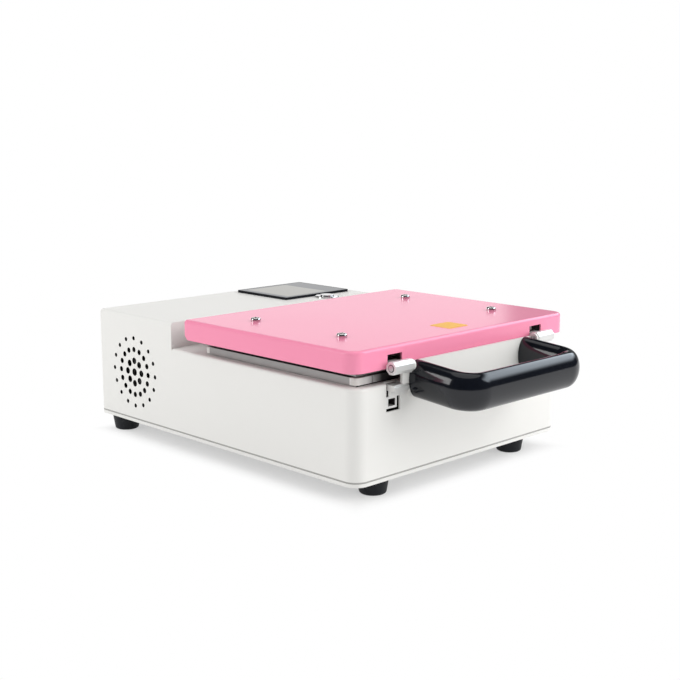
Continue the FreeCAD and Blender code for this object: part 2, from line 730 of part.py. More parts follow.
# Lid and the heater pack under it.
def lid_shell():
    def block(inset, bend):
        half = lid_half - inset
        front_corner = max(LID_CORNER - inset, 0.5)
        rear_corner = max(LID_REAR_CORNER - inset, 0.5)
        top = lid_top - inset
        solid = plan_block(half, lid_front + inset, lid_rear - inset, front_corner, rear_corner, lid_bottom, top)
        return round_edges(solid, bend, level_edges(top))

    shell = block(0, LID_BEND).cut(block(SHEET, max(LID_BEND - SHEET, 0.3)))
    cuts = []
    for side in (-1, 1):
        x = side * latch_x
        cuts.append(box(x - LID_NOTCH_WIDTH / 2, x + LID_NOTCH_WIDTH / 2, lid_front - 1, lid_front + SHEET + 1,
                        lid_bottom - 1, lid_bottom + LID_NOTCH_HEIGHT))
    corner = [(lid_rear + 1, lid_bottom - 1), (lid_rear + 1, lid_bottom + LID_CHAMFER + 1),
              (lid_rear - LID_CHAMFER - 1, lid_bottom - 1)]
    cuts.append(outline_along_x(corner, -2 * lid_half, 2 * lid_half))
    for x, y in lid_screw_places:
        cuts.append(rod(M4 + HOLE_CLEARANCE, SHEET * 3, V(x, y, lid_top - SHEET * 2)))
    for side in (-1, 1):
        for offset in leaf_screw_offsets():
            cuts.append(rod(M3 + HOLE_CLEARANCE, SHEET * 3,
                            V(side * hinge_x + offset, lid_rear - SHEET * 2, leaf_middle()), ALONG_Y))
    return shell.cut(group(cuts))


def lid_screws():
    length = lid_top - pan_top
    return group([
        screw(PAN_HEAD_DIAMETER, PAN_HEAD_HEIGHT, M4, length, V(x, y, lid_top), ALONG_Z) for x, y in lid_screw_places
    ])


def lid_spacers():
    bore = M4 + HOLE_CLEARANCE
    height = lid_inside - carrier_top
    return group([tube(SPACER_DIAMETER, bore, height, V(x, y, carrier_top)) for x, y in lid_screw_places])


def heater_carrier():
    half = tub_half + CARRIER_LIP
    plate = box(-half, half, tub_front - CARRIER_LIP, tub_rear + CARRIER_LIP, pan_top, carrier_top)
    holes = [rod(M4 + HOLE_CLEARANCE, CARRIER_THICKNESS, V(x, y, pan_top)) for x, y in lid_screw_places]
    return plate.cut(group(holes))


def upper_pan():
    half = rim_half - PAN_SETBACK
    sole = box(-half, half, rim_front + PAN_SETBACK, rim_rear - PAN_SETBACK, pan_bottom, pan_bottom + PAN_SHEET)
    return sole.fuse(ring_plan(tub_half, tub_front, tub_rear, PAN_SHEET, pan_bottom, pan_top)).removeSplitter()


def upper_heater():
    inset = PAN_SHEET + PAD_INSET
    low = pan_bottom + PAN_SHEET
    return box(-tub_half + inset, tub_half - inset, tub_front + inset, tub_rear - inset, low, low + PAD_THICKNESS)


def upper_insulation():
    inset = PAN_SHEET + PACK_CLEARANCE
    low = pan_bottom + PAN_SHEET + PAD_THICKNESS
    return box(-tub_half + inset, tub_half - inset, tub_front + inset, tub_rear - inset, low, pan_top)


# Lid hinges, drawn on the right and mirrored.
def leaf_screw_offsets():
    reach = (HINGE_KNUCKLE_WIDTH + HINGE_LEAF_WING) / 2
    return (-reach, reach)


def leaf_middle():
    return lid_top - HINGE_LEAF_BELOW_TOP - HINGE_LEAF_HEIGHT / 2


def hinge_bracket():
    reach = HINGE_KNUCKLE_WIDTH / 2 + HINGE_SIDE_GAP
    ear_top = HINGE_KNUCKLE_RADIUS * 2
    base = box(hinge_x - reach - HINGE_EAR, hinge_x + reach + HINGE_EAR,
               hinge_y - HINGE_BASE_DEPTH / 2, hinge_y + HINGE_BASE_DEPTH / 2,
               DECK_HEIGHT, DECK_HEIGHT + HINGE_BASE_THICKNESS)
    for x in (hinge_x - reach - HINGE_EAR, hinge_x + reach):
        web = box(x, x + HINGE_EAR, hinge_y - HINGE_KNUCKLE_RADIUS, hinge_y + HINGE_KNUCKLE_RADIUS,
                  DECK_HEIGHT, hinge_z)
        base = base.fuse(web.fuse(rod(ear_top, HINGE_EAR, V(x, hinge_y, hinge_z), ALONG_X)))
    bore = rod(HINGE_PIN, CASE_WIDTH, V(0, hinge_y, hinge_z), ALONG_X)
    holes = [
        rod(M3 + HOLE_CLEARANCE, HINGE_BASE_THICKNESS, V(hinge_x, hinge_y + offset, DECK_HEIGHT))
        for offset in hinge_screw_offsets
    ]
    return base.cut(group([bore] + holes)).removeSplitter()


def hinge_leaf():
    half = HINGE_KNUCKLE_WIDTH / 2
    plate_half = half + HINGE_LEAF_WING
    top = lid_top - HINGE_LEAF_BELOW_TOP
    bottom = top - HINGE_LEAF_HEIGHT
    plate = box(hinge_x - plate_half, hinge_x + plate_half, lid_rear, lid_rear + HINGE_LEAF_THICKNESS, bottom, top)
    arm = box(hinge_x - half, hinge_x + half, lid_rear, hinge_y, hinge_z - HINGE_KNUCKLE_RADIUS / 2,
              hinge_z + HINGE_KNUCKLE_RADIUS)
    knuckle = rod(HINGE_KNUCKLE_RADIUS * 2, HINGE_KNUCKLE_WIDTH, V(hinge_x - half, hinge_y, hinge_z), ALONG_X)
    bore = rod(HINGE_PIN + 2 * RUNNING_CLEARANCE, CASE_WIDTH, V(0, hinge_y, hinge_z), ALONG_X)
    holes = [
        rod(M3 + HOLE_CLEARANCE, HINGE_LEAF_THICKNESS, V(hinge_x + offset, lid_rear, leaf_middle()), ALONG_Y)
        for offset in leaf_screw_offsets()
    ]
    return plate.fuse([arm, knuckle]).cut(group([bore] + holes)).removeSplitter()


def hinge_pins():
    reach = HINGE_KNUCKLE_WIDTH / 2 + HINGE_SIDE_GAP + HINGE_EAR
    pin = rod(HINGE_PIN, 2 * reach, V(hinge_x - reach, hinge_y, hinge_z), ALONG_X)
    return group([pin, mirrored(pin)])


def bracket_screws():
    seat = DECK_HEIGHT + HINGE_BASE_THICKNESS
    return group([
        screw(SMALL_HEAD_DIAMETER, SMALL_HEAD_HEIGHT, M3, HINGE_BASE_THICKNESS + SHEET,
              V(side * hinge_x, hinge_y + offset, seat), ALONG_Z)
        for side in (-1, 1)
        for offset in hinge_screw_offsets
    ])


def leaf_screws():
    seat = lid_rear + HINGE_LEAF_THICKNESS
    return group([
        screw(SMALL_HEAD_DIAMETER, SMALL_HEAD_HEIGHT, M3, HINGE_LEAF_THICKNESS + SHEET,
              V(side * hinge_x + offset, seat, leaf_middle()), ALONG_Y)
        for side in (-1, 1)
        for offset in leaf_screw_offsets()
    ])


# Latch, drawn on the right and mirrored.
def barrel_outline():
    """Octagon round the latch pin, as (y, z) corners."""
    radius = LATCH_BARREL / 2 / math.cos(math.pi / 8)
    return [
        (pin_y + radius * math.cos(math.radians(45 * n + 22.5)),
         pin_z + radius * math.sin(math.radians(45 * n + 22.5)))
        for n in range(8)
    ]


def latch_bracket():
    """Tongue from under the lid through its notch, ending in an eight-sided barrel for the pin."""
    post_front = lid_front + SHEET + LATCH_POST_SETBACK
    post_rear = post_front + LATCH_POST_DEPTH
    tongue_top = pin_z + LATCH_TONGUE_RISE
    tongue_low = lid_bottom + LATCH_TONGUE_LIFT
    tongue = [
        (pin_y, tongue_top), (post_front, tongue_top), (post_front, lid_inside), (post_rear, lid_inside),
        (post_rear, tongue_low), (lid_front, tongue_low), (pin_y, pin_z - LATCH_TONGUE_RISE),
    ]
    barrel = outline_along_x(barrel_outline(), barrel_inner, barrel_outer)
    arm = outline_along_x(tongue, tongue_inner, tongue_inner + LATCH_TONGUE_WIDTH)
    bore = rod(LATCH_PIN, CASE_WIDTH, V(0, pin_y, pin_z), ALONG_X)
    return barrel.fuse(arm).cut(bore).removeSplitter()


def latch_pins():
    length = barrel_outer + LATCH_PIN_PROUD - lug_inner
    pin = rod(LATCH_PIN, length, V(lug_inner, pin_y, pin_z), ALONG_X)
    return group([pin, mirrored(pin)])


def handle_plate():
    """White plate that hangs on the latch pins and carries the grip and the hooks."""
    shoulder = pin_z - PLATE_SHOULDER_GAP
    top = pin_z + PLATE_TOP_ABOVE_PIN
    ear = panel_half + PLATE_EAR_WIDTH
    right = [
        (panel_half, PLATE_BOTTOM), (panel_half, PLATE_EAR_BOTTOM), (ear, PLATE_EAR_BOTTOM), (ear, shoulder),
        (panel_half, shoulder), (panel_half, top),
    ]
    left = [(-x, z) for x, z in reversed(right)]
    plate = outline_along_y(right + left, plate_front, plate_back)
    bore = rod(LATCH_PIN + 2 * RUNNING_CLEARANCE, CASE_WIDTH, V(-half_width, pin_y, pin_z), ALONG_X)
    lug = rod(LATCH_LUG_DIAMETER, LATCH_LUG_WIDTH, V(lug_inner, pin_y, pin_z), ALONG_X)
    hanger = box(lug_inner, lug_outer, pin_y, plate_back, shoulder, pin_z)
    lug = lug.fuse(hanger)
    plate = plate.fuse([lug, mirrored(lug)])
    holes = [
        rod(M5 + HOLE_CLEARANCE, PLATE_THICKNESS, V(side * grip_arm_x, plate_front, GRIP_HEIGHT), ALONG_Y)
        for side in (-1, 1)
    ]
    return plate.cut(group([bore] + holes)).removeSplitter()


def latch_hook():
    """Claw under the plate's ear: a faceted bar, a heel set back below it and a tongue into the notch."""
    bar_front = plate_front - HOOK_BAR_PROUD
    wall = -HOOK_WALL_GAP
    bar = [(bar_front, hook_ledge), (bar_front, hook_top - HOOK_FACET), (bar_front + HOOK_FACET, hook_top),
           (wall, hook_top), (wall, hook_bottom), (-HOOK_HEEL_AHEAD, hook_bottom), (-HOOK_HEEL_AHEAD, hook_ledge)]
    claw = outline_along_x(bar, hook_inner, hook_outer)
    tongue = [(wall, hook_ledge), (HOOK_REACH, hook_ledge), (HOOK_REACH, hook_top - HOOK_FACET),
              (HOOK_REACH - HOOK_FACET, hook_top), (wall, hook_top)]
    inner = notch_inner + HOOK_FROM_NOTCH
    return claw.fuse(outline_along_x(tongue, inner, hook_outer)).removeSplitter()


def latch_keeper():
    """Strike behind the front wall: a window with a collar stands in the notch, a tail is welded beside it."""
    inner = notch_inner + KEEPER_FROM_NOTCH
    top = hook_bottom - KEEPER_TOP_GAP
    bottom = top - KEEPER_HEIGHT
    strike = box(inner, notch_outer + KEEPER_TAIL, SHEET, SHEET + KEEPER_SHEET, bottom, top)
    window_outer = notch_outer - KEEPER_FROM_NOTCH
    window = (inner + KEEPER_BAR, window_outer - KEEPER_BAR)
    collar = box(inner, window_outer, SHEET, SHEET + KEEPER_SHEET + KEEPER_COLLAR, bottom, top)
    hole = box(window[0], window[1], 0, SHEET + KEEPER_SHEET + KEEPER_COLLAR,
               bottom + KEEPER_BAR, top - KEEPER_BAR)
    return strike.fuse(collar).cut(hole).removeSplitter()


def handle_grip():
    """Oval bar swept round the U, tilted down to the front and cut flat on the plate."""
    spare = GRIP_HALF_HEIGHT
    arm = grip_arm_x
    turn = GRIP_REACH - GRIP_BEND
    half = math.sqrt(0.5) * GRIP_BEND
    left_start = V(-arm, spare, 0)
    left_end = V(-arm, -turn, 0)
    left_front = V(-arm + GRIP_BEND, -GRIP_REACH, 0)
    right_front = V(arm - GRIP_BEND, -GRIP_REACH, 0)
    right_end = V(arm, -turn, 0)
    right_start = V(arm, spare, 0)
    left_middle = V(-arm + GRIP_BEND - half, -turn - half, 0)
    right_middle = V(arm - GRIP_BEND + half, -turn - half, 0)
    path = Part.Wire([
        Part.makeLine(left_start, left_end),
        Part.Arc(left_end, left_middle, left_front).toShape(),
        Part.makeLine(left_front, right_front),
        Part.Arc(right_front, right_middle, right_end).toShape(),
        Part.makeLine(right_end, right_start),
    ])
    oval = Part.Ellipse(V(0, 0, GRIP_HALF_HEIGHT), V(GRIP_HALF_WIDTH, 0, 0), V(0, 0, 0)).toShape()
    oval.translate(left_start)
    bar = path.makePipeShell([Part.Wire(oval)], True, False)
    bar.rotate(V(0, 0, 0), ALONG_X, GRIP_SLOPE)
    bar.translate(V(0, plate_front, GRIP_HEIGHT))
    beyond = box(-CASE_WIDTH, CASE_WIDTH, plate_front, plate_front + 4 * spare, -CASE_WIDTH, CASE_WIDTH)
    bore = M5 + 2 * RUNNING_CLEARANCE
    holes = [
        rod(bore, GRIP_SCREW_DEPTH, V(side * arm, plate_front - GRIP_SCREW_DEPTH, GRIP_HEIGHT), ALONG_Y)
        for side in (-1, 1)
    ]
    return bar.cut(beyond).cut(group(holes))


def grip_screws():
    length = PLATE_THICKNESS + GRIP_SCREW_DEPTH
    return group([
        screw(GRIP_SCREW_HEAD_DIAMETER, GRIP_SCREW_HEAD_HEIGHT, M5, length,
              V(side * grip_arm_x, plate_back, GRIP_HEIGHT), ALONG_Y)
        for side in (-1, 1)
    ])


# Fan behind the grille, its axis along x.
def fan_frame():
    half = FAN_SIZE / 2
    body = box(fan_outer, fan_inner, fan_y - half, fan_y + half, fan_z - half, fan_z + half)
    body = round_edges(body, FAN_CORNER, lambda bounds: bounds.XLength > 1 and bounds.YLength < 0.01
                       and bounds.ZLength < 0.01)
    duct = rod(FAN_DUCT, FAN_DEPTH, V(fan_outer, fan_y, fan_z), ALONG_X)
    holes = [
        rod(M4 + HOLE_CLEARANCE, FAN_DEPTH, V(fan_outer, fan_y + a, fan_z + b), ALONG_X)
        for a, b in fan_hole_offsets
    ]
    frame = body.cut(group([duct] + holes))
    back = fan_inner - FAN_MOTOR_DEPTH
    motor = rod(FAN_MOTOR_DIAMETER, FAN_MOTOR_DEPTH, V(back, fan_y, fan_z), ALONG_X)
    for turn in (45, 135, 225, 315):
        strut = box(back, fan_inner, fan_y - FAN_STRUT / 2, fan_y + FAN_STRUT / 2, fan_z, fan_z + half)
        strut.rotate(V(back, fan_y, fan_z), ALONG_X, turn)
        motor = motor.fuse(strut)
    bore = rod(FAN_SHAFT + 2 * RUNNING_CLEARANCE, FAN_MOTOR_DEPTH, V(back, fan_y, fan_z), ALONG_X)
    return frame.fuse(motor).cut(bore).removeSplitter()


def fan_rotor():
    """Hub with a shaft and twisted blades, each ruled between its root and its tip."""
    back = fan_inner - FAN_MOTOR_DEPTH
    front = back - FAN_END_GAP - FAN_HUB_DEPTH
    rotor = rod(FAN_HUB_DIAMETER, FAN_HUB_DEPTH, V(front, fan_y, fan_z), ALONG_X)
    shaft = rod(FAN_SHAFT, FAN_END_GAP + FAN_MOTOR_DEPTH, V(back - FAN_END_GAP, fan_y, fan_z), ALONG_X)
    rotor = rotor.fuse(shaft)
    middle = front + FAN_HUB_DEPTH / 2
    root = FAN_HUB_DIAMETER / 2 - 1
    tip = FAN_DUCT / 2 - FAN_TIP_GAP
    for number in range(FAN_BLADES):
        sections = []
        for radius, turn in ((root, FAN_BLADE_ROOT_TURN), (tip, FAN_BLADE_TIP_TURN)):
            lean = math.radians(turn)
            along = V(math.cos(lean), math.sin(lean), 0) * (FAN_HUB_DEPTH / 2 / math.cos(lean) * 0.92)
            across = V(-math.sin(lean), math.cos(lean), 0) * (FAN_BLADE_THICKNESS / 2)
            centre = V(middle, fan_y, fan_z + radius)
            corners = [centre - along - across, centre + along - across,
                       centre + along + across, centre - along + across]
            sections.append(Part.makePolygon(corners + corners[:1]))
        blade = Part.makeLoft(sections, True, True)
        blade.rotate(V(middle, fan_y, fan_z), ALONG_X, 360 * number / FAN_BLADES)
        rotor = rotor.fuse(blade)
    swept = rod(FAN_DUCT - 2 * FAN_TIP_GAP, FAN_HUB_DEPTH + FAN_END_GAP + FAN_MOTOR_DEPTH,
                V(front, fan_y, fan_z), ALONG_X)
    return rotor.common(swept).removeSplitter()


def fan_studs():
    length = FAN_DEPTH + NUT_HEIGHT
    return group([rod(M4, length, V(fan_outer, fan_y + a, fan_z + b), ALONG_X) for a, b in fan_hole_offsets])


def fan_nuts():
    bore = M4 + HOLE_CLEARANCE
    return group([
        nut(NUT_ACROSS_FLATS, bore, NUT_HEIGHT, V(fan_inner, fan_y + a, fan_z + b), ALONG_X)
        for a, b in fan_hole_offsets
    ])


# Electronics on the base plate.
def board_hole_places():
    inset = BOARD_HOLE_INSET
    return [
        (x, y)
        for x in (board_left + inset, board_right - inset)
        for y in (board_front + inset, board_rear - inset)
    ]


def control_board():
    return box(board_left, board_right, board_front, board_rear, BOARD_STANDOFF, board_top)


def board_standoffs():
    return group([hexagon(NUT_ACROSS_FLATS, BOARD_STANDOFF, V(x, y, 0)) for x, y in board_hole_places()])


def terminal_block():
    """Screw terminals along the board's front edge, one wire mouth and one screw well a way."""
    start = board_x - TERMINAL_LENGTH / 2
    front = board_front + BOARD_HOLE_INSET * 2
    block = box(start, start + TERMINAL_LENGTH, front, front + TERMINAL_DEPTH, board_top, board_top + TERMINAL_HEIGHT)
    way = TERMINAL_LENGTH / TERMINAL_WAYS
    cuts = []
    for number in range(TERMINAL_WAYS):
        x = start + (number + 0.5) * way
        cuts.append(box(x - way / 4, x + way / 4, front, front + TERMINAL_DEPTH / 3,
                        board_top + TERMINAL_HEIGHT / 5, board_top + TERMINAL_HEIGHT / 2))
        cuts.append(rod(way / 2, TERMINAL_HEIGHT / 4,
                        V(x, front + TERMINAL_DEPTH / 2, board_top + TERMINAL_HEIGHT * 0.75)))
    return block.cut(group(cuts))


def board_capacitors():
    y = board_rear - BOARD_HOLE_INSET * 2 - CAPACITOR_DIAMETER / 2
    return group([
        rod(CAPACITOR_DIAMETER, CAPACITOR_HEIGHT, V(x, y, board_top))
        for x in (board_x - CAPACITOR_DIAMETER, board_x + CAPACITOR_DIAMETER)
    ])


def solid_state_relay():
    """Potted block with a step at each end for its two screw terminals."""
    half = RELAY_WIDTH / 2
    front = relay_rear - RELAY_DEPTH
    block = box(relay_x - half, relay_x + half, front, relay_rear, 0, RELAY_HEIGHT)
    step = RELAY_DEPTH / 5
    drop = RELAY_HEIGHT * 0.6
    ends = [
        box(relay_x - half, relay_x + half, front, front + step, drop, RELAY_HEIGHT),
        box(relay_x - half, relay_x + half, relay_rear - step, relay_rear, drop, RELAY_HEIGHT),
    ]
    block = block.cut(group(ends))
    heads = [
        rod(SMALL_HEAD_DIAMETER, SMALL_HEAD_HEIGHT, V(relay_x + side * half / 2, y, drop))
        for side in (-1, 1)
        for y in (front + step / 2, relay_rear - step / 2)
    ]
    return block.fuse(heads)


# Mains inlet at the back.
def mains_inlet():
    flange_half = INLET_FLANGE_WIDTH / 2
    flange = box(inlet_x - flange_half, inlet_x + flange_half, case_depth, case_depth + INLET_FLANGE_THICKNESS,
                 INLET_HEIGHT - INLET_FLANGE_HEIGHT / 2, INLET_HEIGHT + INLET_FLANGE_HEIGHT / 2)
    flange = round_edges(flange, INLET_CORNER, lambda bounds: bounds.YLength > 1 and bounds.XLength < 0.01
                         and bounds.ZLength < 0.01)
    rear = case_depth + INLET_FLANGE_THICKNESS
    body = inlet_outline(0, case_depth - INLET_BODY_DEPTH, case_depth)
    recess = inlet_outline(INLET_WALL, rear - INLET_RECESS_DEPTH, rear)
    cuts = [recess]
    for side in (-1, 1):
        place = V(inlet_x + side * INLET_SCREW_PITCH / 2, case_depth, INLET_HEIGHT)
        cuts.append(rod(M3 + HOLE_CLEARANCE, INLET_FLANGE_THICKNESS, place, ALONG_Y))
        sunk = place + V(0, INLET_FLANGE_THICKNESS - SMALL_HEAD_HEIGHT, 0)
        cuts.append(rod(SMALL_HEAD_DIAMETER + HOLE_CLEARANCE, SMALL_HEAD_HEIGHT, sunk, ALONG_Y))
    return flange.fuse(body).cut(group(cuts)).removeSplitter()


def inlet_outline(inset, y0, y1):
    """Six-sided connector outline with its two upper corners cut off."""
    half = INLET_BODY_WIDTH / 2 - inset
    low = INLET_HEIGHT - INLET_BODY_HEIGHT / 2 + inset
    high = INLET_HEIGHT + INLET_BODY_HEIGHT / 2 - inset
    cut = INLET_RECESS_CHAMFER
    points = [(-half, low), (half, low), (half, high - cut), (half - cut, high), (-half + cut, high), (-half, high - cut)]
    return outline_along_y([(inlet_x + x, z) for x, z in points], y0, y1)


def inlet_blades():
    floor = case_depth + INLET_FLANGE_THICKNESS - INLET_RECESS_DEPTH
    places = ((-BLADE_PITCH / 2, -BLADE_DROP), (0, BLADE_RISE - BLADE_DROP / 2), (BLADE_PITCH / 2, -BLADE_DROP))
    blades = []
    for x, z in places:
        blade = box(inlet_x + x - BLADE_WIDTH / 2, inlet_x + x + BLADE_WIDTH / 2, floor, floor + BLADE_LENGTH,
                    INLET_HEIGHT + z - BLADE_HEIGHT / 2, INLET_HEIGHT + z + BLADE_HEIGHT / 2)
        tip = floor + BLADE_LENGTH
        blades.append(round_edges(blade, BLADE_WIDTH * 0.3, lambda bounds: abs(bounds.YMin - tip) < 0.01))
    return group(blades)


def inlet_screws():
    seat = case_depth + INLET_FLANGE_THICKNESS
    length = INLET_FLANGE_THICKNESS + SHEET
    sunk = SMALL_HEAD_HEIGHT
    screws = []
    for side in (-1, 1):
        place = V(inlet_x + side * INLET_SCREW_PITCH / 2, seat - sunk, INLET_HEIGHT)
        screws.append(screw(SMALL_HEAD_DIAMETER, sunk, M3, length - sunk, place, ALONG_Y))
    return group(screws)


# Display and push button on the housing.
def display_plan(inset, z0, z1, corner):
    half = DISPLAY_WIDTH / 2 - inset
    block = plan_block(half, display_front + inset, display_rear - inset, corner, corner, z0, z1)
    block.translate(V(display_x, 0, 0))
    return block


def display_frame():
    """Moulded frame: a floor the glass lies on, an edge round the glass and a window for the screen."""
    ledge = HOUSING_HEIGHT + DISPLAY_FRAME
    top = ledge + DISPLAY_GLASS
    outer = display_plan(0, HOUSING_HEIGHT, top, DISPLAY_CORNER)
    seat = display_plan(DISPLAY_EDGE, ledge, top, DISPLAY_CORNER / 2)
    window = display_plan(MODULE_BORDER, HOUSING_HEIGHT, top, DISPLAY_CORNER / 2)
    return outer.cut(seat.fuse(window))


def display_glass():
    low = HOUSING_HEIGHT + DISPLAY_FRAME
    return display_plan(DISPLAY_EDGE + DISPLAY_GLASS_GAP, low, low + DISPLAY_GLASS, DISPLAY_CORNER / 2)


def display_module():
    top = HOUSING_HEIGHT + DISPLAY_FRAME
    inset = MODULE_BORDER + MODULE_CLEARANCE
    return display_plan(inset, top - MODULE_HEIGHT, top, DISPLAY_CORNER / 2)


def display_board():
    top = HOUSING_HEIGHT + DISPLAY_FRAME - MODULE_HEIGHT
    return display_plan(MODULE_BORDER - MODULE_BOARD_LIP, top - MODULE_BOARD, top, DISPLAY_CORNER)


def button_barrel():
    top = HOUSING_HEIGHT + BUTTON_BEZEL_HEIGHT
    bottom = HOUSING_HEIGHT - BUTTON_BARREL_LENGTH
    centre = V(display_x, button_y, 0)
    bezel = rod(BUTTON_BEZEL, BUTTON_BEZEL_HEIGHT, centre + V(0, 0, HOUSING_HEIGHT))
    bezel = round_edges(bezel, BUTTON_BEZEL_HEIGHT * 0.6, level_edges(top))
    barrel = rod(BUTTON_BARREL, BUTTON_BARREL_LENGTH, centre + V(0, 0, bottom))
    bore = rod(BUTTON_CAP + 2 * BUTTON_CLEARANCE, top - bottom, centre + V(0, 0, bottom))
    return bezel.fuse(barrel).cut(bore).removeSplitter()


def button_nut():
    start = V(display_x, button_y, HOUSING_HEIGHT - SHEET - BUTTON_NUT_HEIGHT)
    return nut(BUTTON_NUT_ACROSS_FLATS, BUTTON_BARREL + 2 * RUNNING_CLEARANCE, BUTTON_NUT_HEIGHT, start)


def button_cap():
    top = HOUSING_HEIGHT + BUTTON_BEZEL_HEIGHT + BUTTON_CAP_PROUD
    low = top - BUTTON_CAP_LENGTH
    stem_low = HOUSING_HEIGHT - BUTTON_BARREL_LENGTH - BUTTON_STEM_IN_BLOCK
    cap = rod(BUTTON_CAP, BUTTON_CAP_LENGTH, V(display_x, button_y, low))
    cap = round_edges(cap, BUTTON_CAP_PROUD * 0.6, level_edges(top))
    return cap.fuse(rod(BUTTON_STEM, low - stem_low, V(display_x, button_y, stem_low)))


def button_block():
    """Contact block under the barrel: a bore for the cap's stem and three solder tags."""
    top = HOUSING_HEIGHT - BUTTON_BARREL_LENGTH
    half = BUTTON_BLOCK_WIDTH / 2
    seat = rod(BUTTON_BARREL, 2.0, V(display_x, button_y, top - 2.0))
    block = box(display_x - half, display_x + half, button_y - half, button_y + half, top - BUTTON_BLOCK_HEIGHT, top)
    tags = [
        box(display_x + x - 0.4, display_x + x + 0.4, button_y - 1.4, button_y + 1.4,
            top - BUTTON_BLOCK_HEIGHT - 5.0, top - BUTTON_BLOCK_HEIGHT)
        for x in (-half / 2, 0, half / 2)
    ]
    depth = BUTTON_STEM_IN_BLOCK + 2 * BUTTON_TRAVEL
    bore = rod(BUTTON_STEM + 2 * BUTTON_CLEARANCE, depth, V(display_x, button_y, top - depth))
    return seat.fuse([block] + tags).cut(bore).removeSplitter()


PIECES = {
    "case_shell": case_shell,
    "base_plate": base_plate,
    "rubber_feet": rubber_feet,
    "foot_screws": foot_screws,
    "foot_nuts": foot_nuts,
    "base_screws": base_screws,
    "chamber_tub": chamber_tub,
    "chamber_rim": chamber_rim,
    "rim_corner_pieces": rim_corner_pieces,
    "rim_seal": rim_seal,
    "heated_platen": heated_platen,
    "platen_standoffs": platen_standoffs,
    "lower_heater": lower_heater,
    "lower_insulation": lower_insulation,
    "thermocouple_probe": thermocouple_probe,
    "lid_shell": lid_shell,
    "lid_screws": lid_screws,
    "lid_spacers": lid_spacers,
    "heater_carrier": heater_carrier,
    "upper_pan": upper_pan,
    "upper_heater": upper_heater,
    "upper_insulation": upper_insulation,
    "hinge_pins": hinge_pins,
    "bracket_screws": bracket_screws,
    "leaf_screws": leaf_screws,
    "latch_pins": latch_pins,
    "handle_plate": handle_plate,
    "handle_grip": handle_grip,
    "grip_screws": grip_screws,
    "fan_frame": fan_frame,
    "fan_rotor": fan_rotor,
    "fan_studs": fan_studs,
    "fan_nuts": fan_nuts,
    "control_board": control_board,
    "board_standoffs": board_standoffs,
    "terminal_block": terminal_block,
    "board_capacitors": board_capacitors,
    "solid_state_relay": solid_state_relay,
    "mains_inlet": mains_inlet,
    "inlet_blades": inlet_blades,
    "inlet_screws": inlet_screws,
    "display_frame": display_frame,
    "display_glass": display_glass,
    "display_module": display_module,
    "display_board": display_board,
    "button_barrel": button_barrel,
    "button_nut": button_nut,
    "button_cap": button_cap,
    "button_block": button_block,
}

# Pieces that come in pairs, drawn on the right.
PAIRS = {
    "hinge_bracket": hinge_bracket,
    "hinge_leaf": hinge_leaf,
    "latch_bracket": latch_bracket,
    "latch_hook": latch_hook,
    "latch_keeper": latch_keeper,
}


def write_piece(name, shape):
    shape.translate(SET_DOWN)
    shape.exportStep("parts/" + name + ".step")


os.makedirs("parts", exist_ok=True)
for name, draw in PIECES.items():
    write_piece(name, draw())
for name, draw in PAIRS.items():
    right = draw()
    left = mirrored(right)
    write_piece(name + "_right", right)
    write_piece(name + "_left", left)
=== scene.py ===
import math

import bpy
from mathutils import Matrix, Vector


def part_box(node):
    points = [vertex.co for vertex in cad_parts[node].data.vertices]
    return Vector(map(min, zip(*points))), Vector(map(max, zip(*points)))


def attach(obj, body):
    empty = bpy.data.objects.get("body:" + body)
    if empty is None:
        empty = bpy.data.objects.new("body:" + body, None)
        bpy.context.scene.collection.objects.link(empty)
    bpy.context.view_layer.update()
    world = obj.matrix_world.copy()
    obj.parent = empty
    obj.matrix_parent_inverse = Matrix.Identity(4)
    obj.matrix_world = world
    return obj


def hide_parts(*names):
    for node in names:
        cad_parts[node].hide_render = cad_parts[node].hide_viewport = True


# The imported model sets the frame. Every length below is in metres.
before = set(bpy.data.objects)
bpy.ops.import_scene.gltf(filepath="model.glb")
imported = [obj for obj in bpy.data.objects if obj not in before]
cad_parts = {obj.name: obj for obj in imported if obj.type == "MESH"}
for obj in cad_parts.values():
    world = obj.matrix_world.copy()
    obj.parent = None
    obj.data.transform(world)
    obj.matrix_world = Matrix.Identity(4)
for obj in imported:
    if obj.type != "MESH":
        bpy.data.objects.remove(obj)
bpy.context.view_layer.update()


# Case shell and base plate: folded sheet steel, welded at the corners and powder coated white.
# The coat flows when it is baked, so it is satin with a very fine ripple. The handle's plate has it too.
# The base plate closes the case from below, and the six small screws in its edge hold it.
WHITE_COAT = (0.805, 0.80, 0.775)
COAT_CLOUD = 0.985
RIPPLE_HEIGHT = 0.00003
RIPPLE_STRENGTH = 0.5


def start_group(name, inputs, outputs):
    """New shader group of numbers; returns it with the sockets that enter and leave it."""
    group = bpy.data.node_groups.new(name, "ShaderNodeTree")
    for label, default in inputs.items():
        socket = group.interface.new_socket(label, in_out="INPUT", socket_type="NodeSocketFloat")
        socket.default_value = default
    for label in outputs:
        group.interface.new_socket(label, in_out="OUTPUT", socket_type="NodeSocketFloat")
    entry = group.nodes.new("NodeGroupInput")
    leave = group.nodes.new("NodeGroupOutput")
    return group, entry.outputs, leave.inputs


def feed(tree, socket, value):
    """Sets a socket to a number or a colour, or links another node's output to it."""
    if isinstance(value, tuple):
        socket.default_value = (*value, 1)
    elif isinstance(value, (int, float)):
        socket.default_value = value
    else:
        tree.links.new(value, socket)


def math_node(tree, operation, *values):
    """Math node on outputs or numbers; returns its result."""
    node = tree.nodes.new("ShaderNodeMath")
    node.operation = operation
    for socket, value in zip(node.inputs, values):
        feed(tree, socket, value)
    return node.outputs["Value"]


def object_place(tree):
    """Where a point lies on its piece."""
    return tree.nodes.new("ShaderNodeTexCoord").outputs["Object"]


